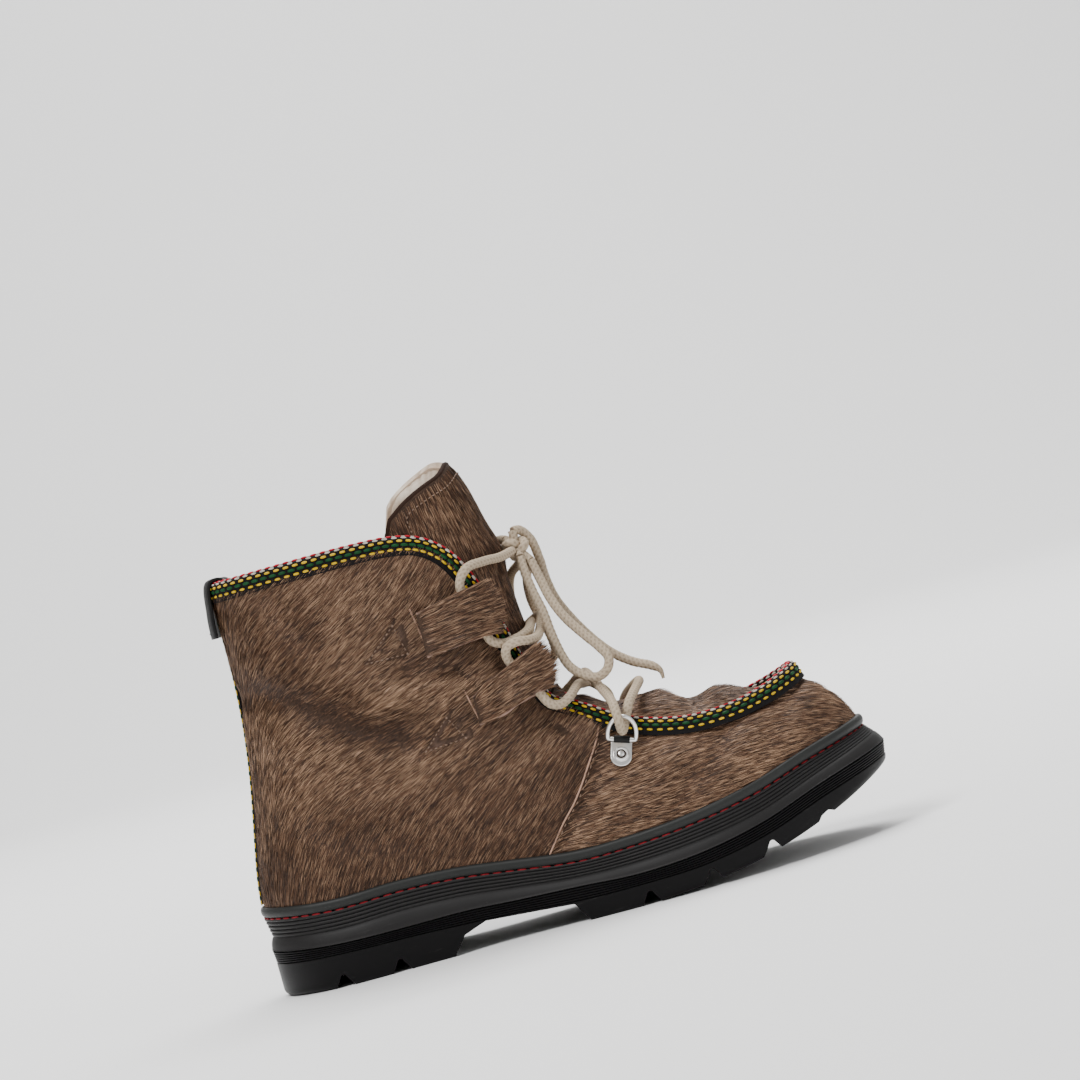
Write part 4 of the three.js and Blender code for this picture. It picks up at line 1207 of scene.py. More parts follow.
    def heel_spread(self) -> float:
        """Millimetres across the back of the heel for one unit of turn."""
        return BALL * float(self.plan_y(-0.01) - self.plan_y(0.01)) / 0.02

    def groove(self, share: Any) -> Array:
        """Height of the stitch groove under the rand."""
        return self.level["rand"](share) - WELT_HEIGHT

    @staticmethod
    def tread(share: Any) -> Array:
        """Height of the tread over the floor."""
        return SPRING * (np.maximum(np.asarray(share) - 0.55, 0) / 0.45) ** 2

    def setback(self, name: str, share: Any) -> Array:
        """How far the sole's side stands back from its widest edge.

        Args:
            name: a level's name.
            share: places along the boot.

        Returns:
            The distances.
        """
        at_heel, at_side, at_toe = self.setbacks[name]
        heel, toe = 1 - smoothstep(0.02, 0.22, share), smoothstep(0.72, 1, share)
        return FLARE * (at_heel * heel + at_toe * toe + at_side * (1 - heel - toe))

    def plan_point(self, turn: Any, inset: Any) -> tuple[Array, Array]:
        """A point of the sole's plan moved in by inset, and the way out.

        Args:
            turn: turns round the boot.
            inset: how far in.

        Returns:
            The points and the ways out, both flat.
        """
        turn = np.asarray(turn, float)

        def at(t: Array) -> Array:
            """Points of the plan."""
            return np.stack([LENGTH * share_of(t), BALL * self.plan_y(t)], -1)

        tangent = unit(at(turn + 0.01) - at(turn - 0.01))
        out = np.stack([tangent[..., 1], -tangent[..., 0]], -1)
        return at(turn) - out * np.asarray(inset)[..., None], out

    def ring(self, turns: Array, inset: Any, height: Any) -> Array:
        """Points round the sole."""
        place, _ = self.plan_point(turns, np.broadcast_to(inset, turns.shape))
        return np.concatenate([place, np.broadcast_to(height, turns.shape)[..., None]], -1)

    def wall(self, turn: Any, rise: Any) -> Array:
        """A point of the upper's outer form: rise 0 is at the sole, 1 at the edge.

        Args:
            turn: turns round the boot.
            rise: shares of the way from the sole to the edge.

        Returns:
            The points.
        """
        turn, rise = np.broadcast_arrays(np.asarray(turn, float), np.asarray(rise, float))
        share = share_of(turn)
        place, out2 = self.plan_point(turn, self.setback("rand", share) + WELT_WIDTH)
        foot = np.concatenate([place, (self.groove(share) + GAP)[..., None]], -1)
        top = np.stack([LENGTH * self.edge_x(turn), BALL * self.edge_y(turn), COLLAR * self.edge_z(turn)], -1)
        climb = (top[..., 2] - foot[..., 2])[..., None]
        out = np.concatenate([out2, np.zeros(out2.shape[:-1] + (1,))], -1)
        s = {name: curve(turn)[..., None] for name, curve in self.shape.items()}
        low = foot + out * BALL * s["foot_out"] + UP * climb * s["foot_up"]
        high = top + out * BALL * s["top_out"] - UP * climb * s["top_down"]
        high[..., 0] -= LENGTH * s["top_back"][..., 0]
        t = rise[..., None]
        return foot * (1 - t) ** 3 + 3 * low * t * (1 - t) ** 2 + 3 * high * t * t * (1 - t) + top * t**3

    def wall_normal(self, turn: Any, rise: Any) -> Array:
        """The way out of the upper's outer form.

        Args:
            turn: turns round the boot.
            rise: shares of the way from the sole to the edge.

        Returns:
            Directions of length one.
        """
        step = 0.01
        inside = np.clip(rise, step, 1 - step)
        side = self.wall(turn + step, inside) - self.wall(turn - step, inside)
        return unit(np.cross(side, self.wall(turn, inside + step) - self.wall(turn, inside - step)))

    def edge_frame(self, turn: Array) -> tuple[Array, Array, Array, Array]:
        """Middle of the rim, the way up out of it, the way in, and the way along.

        Args:
            turn: turns round the boot.

        Returns:
            Middle of the rim, the way up out of it, the way in, and the way along.
        """
        tangent = unit(self.wall(turn + 0.01, 1.0) - self.wall(turn - 0.01, 1.0))
        normal = self.wall_normal(turn, np.ones_like(turn))
        ridge = 0.7 * smoothstep(0.55, 0.62, share_of(turn))[..., None]
        up = blend(unit(np.cross(normal, tangent)), UP, ridge)
        up = unit(up - tangent * (up * tangent).sum(-1, keepdims=True))
        inward = unit(np.cross(up, tangent))
        inward = np.where((inward * normal).sum(-1, keepdims=True) > 0, -inward, inward)
        tilt = np.abs((normal * up).sum(-1, keepdims=True)) * (WALL / 2 + OVERLAP)
        middle = self.wall(turn, np.ones_like(turn)) - normal * WALL / 2 + up * tilt
        return middle, up, inward, tangent

    def table(self, side: Side) -> tuple:
        """Points and normals all over one side, for finding a place on it.

        Args:
            side: the side.

        Returns:
            Turns, rises, points, and the points of the rim.
        """
        if side not in self.tables:
            turn, rise = np.meshgrid(np.linspace(0.05, 2.9, 500), np.linspace(0, 1, 160), indexing="ij")
            real = turn if side is Side.LATERAL else FULL - turn
            points = self.wall(real, rise)
            rim = points[:, -1]
            self.tables[side] = turn, rise, points, rim
        return self.tables[side]

    def find(self, side: Side, x: float, z: float) -> tuple[Array, Array]:
        """The point of one side that a side view shows at x, z, and its normal.

        Args:
            side: the side that is looked at.
            x: place along the boot.
            z: height.

        Returns:
            The point and its normal.
        """
        turn, rise, points, _ = self.table(side)
        off = (points[..., 0] - x) ** 2 + (points[..., 2] - z) ** 2
        i = np.unravel_index(np.argmin(off), off.shape)
        t, r = float(turn[i]), float(rise[i])

        def real(value: float) -> float:
            """The turn on this side."""
            return value if side is Side.LATERAL else FULL - value

        for _ in range(4):
            here = self.wall(real(t), r)
            by_t = (self.wall(real(t + 1e-3), r) - here) / 1e-3
            by_r = (self.wall(real(t), r - 1e-3) - here) / -1e-3
            matrix = np.array([[by_t[0], by_r[0]], [by_t[2], by_r[2]]])
            if abs(np.linalg.det(matrix)) < 1:
                break
            step = np.linalg.solve(matrix, [x - here[0], z - here[2]])
            t, r = t + float(np.clip(step[0], -0.05, 0.05)), float(np.clip(r + step[1], 0, 1))
        return self.wall(real(t), r), self.wall_normal(np.array(real(t)), np.array(r))

    def on_side(self, side: Side, x: float, z: float) -> tuple[Array, Array]:
        """As find, and past the throat's edge the surface is carried on straight.

        Args:
            side: the side that is looked at.
            x: place along the boot.
            z: height.

        Returns:
            The point and its normal.
        """
        turn, _, _, rim = self.table(side)
        inside = (turn[:, 0] > turn_of(0.3)) & (turn[:, 0] < turn_of(0.62))
        tops, places = rim[inside, 2], rim[inside, 0]
        limit = np.interp(-z, -tops, places) - 2.5 if z > tops.min() else 250.0
        if x <= limit:
            return self.find(side, x, z)
        before, (point, normal) = self.find(side, limit - 8, z), self.find(side, limit, z)
        ahead = point - before[0]
        return point + ahead * (x - limit) / ahead[0], normal


# ---------------------------------------------------------------- sub-assemblies


@dataclass
class Kit:
    """What all sub-assemblies share: the last, the small shapes and the finishes."""

    last: Last
    shapes: Shapes
    finishes: dict[str, Material]

    def ride(self, obj: Body, slot: str, *nodes: str) -> None:
        """Fixes a finished piece to the boot and reports it.

        Args:
            obj: the piece.
            slot: not used.
            nodes: the solids that it stands for.
        """
        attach(obj, "root")
        if nodes:
            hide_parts(*nodes)
        obj.data.calc_loop_triangles()
        LOG.info("%s: %d triangles", obj.name, len(obj.data.loop_triangles))

    def grow(self, name: str, skin: Body, pelt: Pelt, slot: str, flow: Array,
             **shares: Array) -> None:
        """Grows hair on a skin and fixes it to the boot.

        Args:
            name: the new piece's name.
            skin: the sheet that it grows on; it is removed.
            pelt: how it grows.
            slot: a label handed on to ride.
            flow: the way that it lies at each point.
            shares: cover, fur and painted shade, where they aren't 1, 1 and none.
        """
        ones = np.ones(flow.shape[:-1])
        layers = {"flow": flow, "cover": ones, "fur": ones, **shares}
        self.ride(pelt.lay(name, skin, self.shapes.blade, self.finishes["hair"], layers), slot)

    def curl(self, name: str, skin: Body, points: Array, normals: Array, slot: str,
             seed: int, length: float = 3.6) -> None:
        """Lays loose curls of wool on a skin, every way.

        Args:
            name: the new piece's name.
            skin: the sheet they grow on; it is removed.
            points: its points.
            normals: the way out of the wool.
            slot: a label handed on to ride.
            seed: seed of the scatter.
            length: length of a curl in millimetres.
        """
        angle = 9 * rough(points, 6.0, 8.0)
        side = unit(np.cross(normals, UP))
        rise = np.cross(side, normals)
        flow = side * np.cos(angle)[..., None] + rise * np.sin(angle)[..., None]
        ones = np.ones(flow.shape[:-1])
        pelt = Pelt(density=0.5, length=length, width=0.85, height=1.1, swing=1.6, roll=0.9, seed=seed)
        layers = {"flow": flow, "cover": ones, "fur": ones}
        self.ride(pelt.lay(name, skin, self.shapes.curl, self.finishes["fleece"], layers), slot)

    def sew(self, name: str, finish: str, slot: str, *rows: tuple) -> None:
        """Sets stitches or woven dashes and fixes them to the boot.

        Args:
            name: the new piece's name.
            finish: its finish.
            slot: a label handed on to ride.
            rows: each the places, the ways along and up, and the length, width and height of one dash.
        """
        places, along, up, size = (np.concatenate([np.broadcast_to(np.asarray(row[k], float), row[0].shape)
                                                   for row in rows]) for k in range(4))
        holder = mesh_object(name + "_holder", places, [], None, None)
        for layer, values in {"along": along, "up": up, "size": size * MM}.items():
            paint(holder, layer, values)
        made = row_tree().run(holder, {"Thing": self.shapes.dash, "Finish": self.finishes[finish]}, name)
        self.ride(made, slot)


@dataclass
class Lacing:
    """The cotton lace: its crossings through straps and rings, knot, loops and ends."""

    kit: Kit
    radius: float = LACE / 2
    step: float = 0.65
    pitch: float = 4.4
    crossings: tuple = (
        (147, -4.8, 158.8), (141.4, -15.5, 157.6), (134, -26.6, 157.8), (126, -35, 156.6), (122, -36.8, 150.6),
        (125, -36.2, 138.4), (127, -36, 131), (128.2, -36.1, 125), (132.8, -35.2, 122.2), (139.2, -31.6, 122.6),
        (143.8, -24.6, 124), (145.8, -14, 125.8), (146.5, 0, 127.2), (145.6, 14, 125.4), (143.8, 25, 121.8),
        (139.6, 32, 119.6), (134.6, 36.2, 118.8), (132.4, 37, 114.8), (137.6, 37.6, 105.6), (140, 38.3, 99.2),
        (143, 38.6, 93), (150, 37.2, 91.6), (155, 33.6, 94.2), (159, 26, 97.2), (161.8, 14, 98.8),
        (163.4, 0, 99.4), (165.4, -12, 96.8), (168, -23, 91.6), (170.2, -33.6, 87), (170.8, -42, 84),
        (171, -45.8, 78.4), (171.4, -41, 73.2), (173.6, -36.4, 76.4), (176.8, -33.2, 82.6), (181.4, -20, 87.4),
        (184.6, 0, 89.8), (181.4, 20, 87.4), (176.8, 34.2, 82.6), (173.6, 37, 76.4), (171.4, 41.6, 73.2),
        (171, 46.4, 78.4), (170.8, 43, 84), (170, 34, 87.4), (167.4, 24, 91), (164, 12, 94.4),
        (160.8, 0, 95.2), (159, -14, 96), (156.6, -26, 94.8), (153.4, -33.4, 92.4), (149.2, -36, 90.8),
        (145.2, -37.7, 92.4), (141.8, -37.8, 98.8), (138.6, -37, 105.6), (133, -36.9, 115.2),
        (133.8, -38.8, 120), (138.6, -38.8, 121.4), (143.4, -35.2, 120.6), (146.8, -27.6, 120.6), (148.7, -16, 122),
        (151.2, 0, 127.6), (150.2, 15, 128.6), (147.8, 26, 127.4), (143.2, 33.8, 125), (137.4, 37.8, 122.8),
        (131.4, 37.2, 122.2), (127.7, 36.4, 125.8), (126.3, 36, 131.6), (124.8, 36.2, 138.2), (122, 36.8, 150.6),
        (126, 35, 156.6), (134, 26.6, 157.8), (141.4, 15.5, 157.6), (147, 4.8, 158.8))
    knot_at: tuple = (148.8, 0, 159.4)
    knot_size: tuple = (5.4, 4.3, 5.2)
    bow: dict = field(default_factory=lambda: {
        "lace_loop_lateral": (
            (149.6, -5.6, 155.2), (149.8, -8.4, 148), (151, -11, 139), (152.8, -13.4, 130), (153.6, -15, 121),
            (155, -16.6, 112), (157.4, -18.6, 104.6), (162.4, -21.4, 99.4), (168, -23.2, 97.2), (172.6, -24, 99.4),
            (174.4, -23, 103.8), (172.2, -21, 108.6), (166.6, -18, 116.6), (161, -15, 125.4), (157.4, -11, 134.4),
            (155.4, -7, 143.6), (153.6, -4.4, 152.6)),
        "lace_loop_medial": (
            (151, 5.8, 156.2), (148, 13.6, 152.6), (144, 22, 149.6), (141.6, 31, 145), (140.4, 39, 138),
            (140.6, 44.2, 129), (142, 47, 120), (144.4, 48.2, 111.4), (148.8, 48, 107), (152.6, 46.6, 109.6),
            (152.8, 44.4, 117), (150.8, 41, 125.6), (149, 36, 134), (149, 28.6, 141.4), (150.4, 19.4, 147.6),
            (152.2, 10, 151.6), (152.8, 4.6, 153.4)),
        "lace_end_lateral": (
            (149.4, 1.4, 167), (152.2, 3.4, 166.8), (156, 6, 161.6), (157.4, 8, 152.4), (157.8, 9.5, 143),
            (159.4, 10.5, 134), (162.8, 11, 125.6), (167.4, 11.4, 117), (172.4, 11, 109.4), (177.6, 9.6, 103.4),
            (184.6, 7.6, 98), (191.6, 5.4, 94.4), (194.8, 4.6, 91.4), (195.2, 4.2, 87.6)),
        "lace_end_medial": (
            (145.6, 5.8, 164), (143, 11.6, 164.8), (140, 19.4, 163.8), (136.8, 28, 161.4), (133.6, 36.4, 157.6),
            (131.2, 43, 153), (130.4, 46.8, 146), (130.2, 48.2, 137), (130.4, 48.8, 126), (131, 49, 115),
            (132.2, 49, 104.6), (133.6, 48.8, 95))})

    def braid(self, along: Array, turn: Array) -> Array:
        """Relief of eight strands that pass over and under each other.

        Args:
            along: distances along the lace.
            turn: turns round it.

        Returns:
            Shares of its radius.
        """
        u, v = along / self.pitch, turn / FULL
        one, two = 4 * v + 2 * u, 4 * v - 2 * u
        over = np.sin(math.pi * (one + two)) * np.sin(math.pi * (one - two))
        height = np.where(over > 0, np.abs(np.sin(math.pi * one)), np.abs(np.sin(math.pi * two)))
        return 0.8 + 0.22 * height**1.6

    def strand(self, name: str, line: Array, tipped: bool = False) -> Body:
        """One stretch of braided lace.

        Args:
            name: the piece's name.
            line: its middle.
            tipped: whether it narrows to its end.

        Returns:
            The new object.
        """
        radius = np.full(len(line), self.radius)
        if tipped:
            radius *= 0.36 + 0.64 * smoothstep(0, 9, np.arange(len(line))[::-1] * self.step)
        return tube(name, line, radius, 16, self.kit.finishes["cotton"], relief=self.braid)

    def build(self) -> None:
        """Makes every stretch of the lace and fixes each to the boot."""
        kit = self.kit
        crossing = self.strand("laced_crossings", centripetal(self.crossings, self.step))
        kit.ride(crossing, "cotton_lace", "lace_crossings")
        turn = all_round(150)
        knot = np.stack([np.sin(turn) + 2 * np.sin(2 * turn), -np.sin(3 * turn),
                         np.cos(turn) - 2 * np.cos(2 * turn)], 1)
        room = np.array(self.knot_size) - self.radius * 0.55
        knot = knot / np.abs(knot).max(0) * room + self.knot_at
        tied = tube("bow_knot", knot, self.radius * 0.95, 14, kit.finishes["cotton"], closed=True, relief=self.braid)
        kit.ride(tied, "cotton_lace", "lace_knot")
        starts = [place for name, points in self.bow.items()
                  for place in (points[:1] if "end" in name else (points[0], points[-1]))]
        for number, end in enumerate(starts):
            stub = evenly(np.array([self.knot_at, end], float), self.step)
            kit.ride(self.strand(f"knot_stub_{number}", stub), "cotton_lace")
        for name, points in self.bow.items():
            line = centripetal(points, self.step)
            ends = name.startswith("lace_end")
            obj = self.strand(name.replace("lace_", "bow_"), line, ends)
            kit.ride(obj, "cotton_lace", name)


@dataclass
class Sole:
    """Outsole, midsole and rand, with ribbed bands, lugs and the red stitching."""

    kit: Kit
    columns: int = 320
    ribs: int = 5
    rings_a_rib: int = 6
    rib_depth: float = 0.75
    # half width and height over the tread up a notch's side
    notch: tuple = ((7.5, -4), (4.6, -0.3), (3.4, 1.2))
    # x of LENGTH, z of STACK
    waist: tuple = ((0.276, -0.1), (0.278, 0.01), (0.3, 0.2), (0.336, 0.285), (0.4, 0.25), (0.472, 0.212),
                    (0.49, 0.01), (0.491, -0.1))
    # at, depth
    notches: tuple = ((0.105, 5.5), (0.195, 5.5), (0.586, 5.5), (0.685, 5.5), (0.783, 5.2), (0.879, 2.75))
    # start, end; width and depth
    channels: tuple = ((0.06, 0.3), (0.47, 0.9))
    channel: tuple = (9.0, 3.5)
    lug_round: float = 3.2
    bead: float = 1.75
    stitch: tuple = (4.0, 1.0, 1.0)
    stitch_pitch: float = 5.3

    def __post_init__(self) -> None:
        """Spreads the columns round the sole."""
        self.turns = all_round(self.columns)
        self.share = share_of(self.turns)

    def at(self, name: str) -> Array:
        """Inset of one level round the sole."""
        return self.kit.last.setback(name, self.share)

    def ribbed(self, inset0: Array, inset1: Array, z0: Array, z1: Array) -> list[Array]:
        """Rings of fine rounded ribs from one level up to another.

        Args:
            inset0: inset round the lower level.
            inset1: inset round the upper level.
            z0: heights of the lower level.
            z1: heights of the upper level.

        Returns:
            The rings between the two.
        """
        rings, count = [], self.ribs * self.rings_a_rib
        for k in range(1, count):
            share = k / count
            sunk = self.rib_depth * (1 - abs(math.sin(math.pi * self.ribs * share)) ** 0.55)
            rings.append(self.kit.last.ring(self.turns, blend(inset0, inset1, share) + sunk, blend(z0, z1, share)))
        return rings

    def stack(self, name: str, rings: list[Array], material: Material, soft: float) -> Body:
        """A closed body of rings, capped by strips across it below and above.

        Args:
            name: the piece's name.
            rings: from the lowest up.
            material: its finish.
            soft: angle in degrees that is shaded round.

        Returns:
            The new object.
        """
        grid = np.array(rings)
        rows, columns = grid.shape[:2]
        faces = grid_faces(rows, columns, True)
        top = (rows - 1) * columns
        for i in range(columns // 2):
            far, near = (columns - i) % columns, columns - i - 1
            faces += [[far, near, i + 1, i], [top + i, top + i + 1, top + near, top + far]]
        faces = [list(dict.fromkeys(face)) for face in faces]
        return mesh_object(name, grid, [face for face in faces if len(face) > 2], material, soft)

    def prism(self, outline: Sequence[Sequence[float]], width: float) -> Body:
        """A cutter across the boot.

        Args:
            outline: x and z of its corners, seen from the side.
            width: how far it goes across.

        Returns:
            The cutter, its faces out.
        """
        flat = np.array(outline, float)
        after = np.roll(flat, -1, 0)
        points = np.concatenate([np.insert(flat, 1, y, axis=1) for y in (-width / 2, width / 2)])
        obj = mesh_object("cutter", points, slab_faces(len(flat)), None, None)
        if (flat[:, 0] * after[:, 1] - after[:, 0] * flat[:, 1]).sum() < 0:
            obj.data.flip_normals()
        return obj

    def cutters(self) -> list[Body]:
        """The waist, the notches between lugs and the channel along the middle.

        Returns:
            Bodies to cut out of the outsole.
        """
        last = self.kit.last
        made = [self.prism([(LENGTH * x, STACK * z) for x, z in self.waist], 2 * BALL)]
        for at, depth in self.notches:
            x, z = LENGTH * at, float(last.tread(at))
            half = (*self.notch, (0.9, depth - 0.3))
            outline = [(x - half[0][0], z + half[0][1]), *((x + a, z + b) for a, b in half), (x, z + depth)]
            outline += [(x - a, z + b) for a, b in half[:0:-1]]
            made.append(self.prism(outline, 2 * BALL))
        for start, end in self.channels:
            share = np.linspace(end, start, 12)
            wide, deep = self.channel
            roof = np.column_stack([LENGTH * share, last.tread(share) + deep])
            made.append(self.prism([(LENGTH * start, -deep), (LENGTH * end, -deep), *roof], wide))
        return made

    def build(self) -> None:
        """Makes the three layers and the thread."""
        self.outsole()
        last, share = self.kit.last, self.share
        groove = last.groove(share)
        foot, ledge = last.level["foot"](share), last.level["ledge"](share)
        rings = [last.ring(self.turns, self.at("foot") + 0.3, foot),
                 last.ring(self.turns, self.at("foot") - 0.1, foot + 0.3)]
        for s in np.arange(1, 8) / 8:
            inset = blend(self.at("foot"), self.at("ledge"), s) - 0.35 * math.sin(math.pi * s)
            rings.append(last.ring(self.turns, inset, blend(foot, ledge, s)))
        rings += [last.ring(self.turns, self.at("ledge") + 0.4, ledge),
                  *self.ribbed(self.at("ledge"), self.at("rand"), ledge, groove),
                  last.ring(self.turns, self.at("rand") + 1.6, groove)]
        midsole = self.stack("ribbed_midsole", rings, self.kit.finishes["midsole"], 32)
        self.kit.ride(midsole, "midsole_rubber", "midsole")
        self.rand(groove, last.level["rand"](share))

    def outsole(self) -> None:
        """Makes the outsole: rounded lugs, cut by the waist, notches and channel, under its ribs."""
        last, lug = self.kit.last, self.kit.last.level["lug"](self.share)
        tread, top = last.tread(self.share), last.level["foot"](self.share) - GAP
        rings = []
        for swing in np.linspace(0, math.pi / 2, 7):
            rings.append(last.ring(self.turns, blend(self.at("sole"), self.at("lug"), math.sin(swing)),
                                   tread + self.lug_round * (1 - math.cos(swing))))
        rings += [last.ring(self.turns, self.at("lug"), lug - 0.5), last.ring(self.turns, self.at("lug") + 0.6, lug),
                  *self.ribbed(self.at("lug"), self.at("foot"), lug, top), last.ring(self.turns, self.at("foot"), top)]
        outsole = self.stack("lugged_outsole", rings, self.kit.finishes["outsole"], 32)
        cutters = self.cutters()
        for cutter in cutters:
            cut = outsole.modifiers.new("cut", "BOOLEAN")
            cut.operation, cut.solver, cut.object = "DIFFERENCE", "EXACT", cutter
        outsole = evaluated(outsole, "lugged_outsole")
        for cutter in cutters:
            bpy.data.objects.remove(cutter)
        outsole.data.shade_smooth()
        outsole.data.set_sharp_from_angle(angle=math.radians(30))
        self.kit.ride(outsole, "outsole_rubber", "outsole")

    def rand(self, groove: Array, top: Array) -> None:
        """The rounded bead over the groove, and the red stitches in it.

        Args:
            groove: height of the groove round the sole.
            top: height of the bead's top.
        """
        kit, last, turns = self.kit, self.kit.last, self.turns
        low, loops = groove + GAP, []
        for swing in np.pi * (np.arange(13) / 12 - 0.5):
            inset = self.at("rand") + 1.3 - self.bead * math.cos(swing) ** 0.8
            loops.append(last.ring(turns, inset, blend(low, top, 0.5 + 0.5 * math.sin(swing))))
        for height in (top, low):
            rise = (height - low) / np.maximum(COLLAR * last.edge_z(turns) - low, 1)
            guess = rise / (3 * last.shape["foot_up"](turns))
            inner = last.wall(turns, guess) + last.wall_normal(turns, guess) * (OVERLAP + 0.2)
            inner[:, 2] = height
            loops.append(inner)
        kit.ride(loop_object("rounded_rand", loops, kit.finishes["rand"], 50), "rand_rubber", "welt")
        line = last.ring(turns, self.at("rand") + 0.55, groove - 0.1)
        line = evenly(np.vstack([line, line[:1]]), self.stitch_pitch)[:-1]
        ahead = unit(np.roll(line, -1, 0) - np.roll(line, 1, 0))
        row = (line, ahead, unit(np.cross(ahead, UP)), self.stitch)
        kit.sew("red_rand_stitches", "red_thread", "rand_rubber", row)


@dataclass
class Upper:
    """The hollow upper: quarter over vamp, its seams, dents, hair and fleece lining."""

    kit: Kit
    columns: int = 264
    rows: int = 50
    length: float = 7.4
    overlap: float = 1.6
    density: float = 3.2
    widths: tuple = (0.26, 0.42, 0.32)
    wool: float = 7.8
    seam_ends: tuple = (21.6, 93.6)
    # pitch, and one stitch's length, width and height
    seam_stitch: tuple = (2.6, (1.6, 0.5, 0.6))
    dart_stitch: tuple = (2.1, (1.3, 0.6, 0.6))
    # x and z of the corners of the stitched reinforcements behind the straps
    darts: tuple = (((89.8, 142.0), (92.9, 129.0), (75.2, 129.6)), ((101.3, 98.4), (107.0, 88.0), (89.2, 87.0)))
    # x and z of the ends of the cut edge that shows at each strap's slit
    slits: tuple = (((98.6, 147.0), (101.4, 127.5)), ((111.6, 107.5), (114.6, 94.0)))
    # height, width, then the x and z of each point that a crease (minus) or a ridge passes
    creases: tuple = (
        (-4.6, 8.5, ((27.0, 126.0), (42.7, 116.6), (55.2, 106.3), (68.0, 98.0), (76.0, 95.5))),
        (2.0, 8.0, ((30.5, 106.0), (48.6, 94.6), (69.5, 85.8))),
        (1.2, 7.0, ((46.0, 130.0), (62.0, 119.0), (76.0, 108.0))),
        (-2.6, 5.0, ((88.0, 120.6), (96.0, 119.8), (108.1, 116.3))),
        (1.8, 4.5, ((66.0, 109.0), (74.5, 112.4), (89.5, 111.6), (106.0, 110.0))),
        (-1.4, 7.0, ((36.2, 161.7), (43.3, 142.4), (46.0, 132.0))),
        (-1.6, 5.0, ((118.0, 80.0), (132.0, 84.5), (146.0, 80.0))),
        (-1.0, 8.0, ((26.0, 66.0), (40.0, 52.0), (60.0, 48.0))),
        (-1.3, 5.5, ((150.0, 62.0), (138.0, 46.0))),
        (-1.2, 6.0, ((190.0, 44.0), (204.0, 52.0), (214.0, 64.0))),
        (0.9, 6.0, ((176.0, 44.0), (186.0, 56.0))),
        (-0.9, 6.0, ((226.0, 52.0), (238.0, 62.0), (246.0, 70.0))))

    def dart(self, points: Array) -> tuple[Array, Array]:
        """Where a point lies by the darts.

        Args:
            points: points on the upper.

        Returns:
            Distances from a stitched line, and how far inside a dart.
        """
        x, z = points[..., 0], points[..., 2]
        line, inside = np.full(x.shape, FAR), np.full(x.shape, -FAR)
        for corners in self.darts:
            line = np.minimum(line, off_course(x, z, (*corners, corners[0])))
            depth = np.full(x.shape, FAR)
            for (ax, az), (bx, bz) in zip(corners, (*corners[1:], corners[0])):
                depth = np.minimum(depth, ((x - ax) * (bz - az) - (z - az) * (bx - ax)) / math.hypot(bx - ax, bz - az))
            inside = np.maximum(inside, depth)
        return line, inside

    def seam_gap(self, points: Array) -> Array:
        """How far in front of the side seam a point lies."""
        return points[..., 0] - self.kit.last.seam_x(np.clip(points[..., 2], *self.seam_ends))

    def folds(self, points: Array) -> Array:
        """Soft creases, troughs and dents of a worn-in quarter.

        Args:
            points: points on the upper.

        Returns:
            Heights over the form. The medial side's creases lie 8 mm on and 5 mm lower.
        """
        medial = points[..., 1] > 0
        x, z = points[..., 0] - 8 * medial, points[..., 2] + 5 * medial
        height = np.zeros(x.shape)
        for depth, width, course in self.creases:
            height += depth * np.exp(-((off_course(x, z, course) / width) ** 2))
        line, inside = self.dart(points)
        return height - 1.5 * np.exp(-((line / 1.2) ** 2)) + 0.9 * smoothstep(0, 3, inside)

    def flow(self, points: Array, normals: Array) -> Array:
        """The way the hair lies: up and forward on the quarter, along the sole on the vamp.

        Args:
            points: points on the upper.
            normals: the way out of them.

        Returns:
            A direction for each.
        """
        front = smoothstep(-1, 1, self.seam_gap(points))
        x, z = points[..., 0], points[..., 2]
        swirl = 0.22 * np.sin(x / 31 + z / 44) + 0.16 * np.sin(z / 17 - x / 63)
        low = smoothstep(80, 40, z)
        angle = blend(0.56 + 0.24 * low + 0.6 * swirl, 0.04 + 0.3 * swirl, front)
        way = np.stack([np.cos(angle), np.zeros(x.shape), np.sin(angle)], -1)
        return unit(way - normals * (way * normals).sum(-1, keepdims=True))

    def shell(self) -> tuple[Array, Array]:
        """The dressed outer surface and its normals.

        Returns:
            Its points and normals.
        """
        last = self.kit.last
        turn, rise = np.meshgrid(all_round(self.columns), np.linspace(0, 1, self.rows))
        points, normals = last.wall(turn, rise), last.wall_normal(turn, rise)
        step = OVERLAP * smoothstep(0.6, -0.6, self.seam_gap(points))
        fade = smoothstep(0, 0.08, rise) * smoothstep(1, 0.95, rise)
        height = step + self.folds(points) * fade
        points = points + normals * height[..., None]
        return points, grid_normals(points, True)

    def hair(self, points: Array, normals: Array) -> None:
        """Hair on the quarter of each side and on the vamp.

        Args:
            points: the dressed outer surface.
            normals: the way out of it.
        """
        gap, lateral = self.seam_gap(points), points[..., 1] < 0
        line, _ = self.dart(points)
        fur = (1 - 0.4 * np.exp(-((line / 1.4) ** 2))) * (1 - 0.35 * np.exp(-(((gap + 0.4) / 1.2) ** 2)))
        flow = self.flow(points, normals)
        for reach in (0.6, 0.45, 0.3):
            crossed, _ = self.dart(points + flow * self.length * reach)
            fur = np.where(crossed < 0.7, np.minimum(fur, reach), fur)
        below = np.cumsum(np.linalg.norm(np.diff(points, axis=0, append=points[-1:]), axis=2)[::-1], axis=0)[::-1]
        climb = np.maximum((flow * ahead_of(points)).sum(-1), 0.05)
        fur = np.minimum(fur, (below + self.overlap) / (self.length * climb))
        cover = (1 - 0.8 * np.exp(-((line / 0.7) ** 2))) * smoothstep(0.1, 0.9, below)
        cover = cover * np.where(points[..., 1] > 12, 0.6, 1)
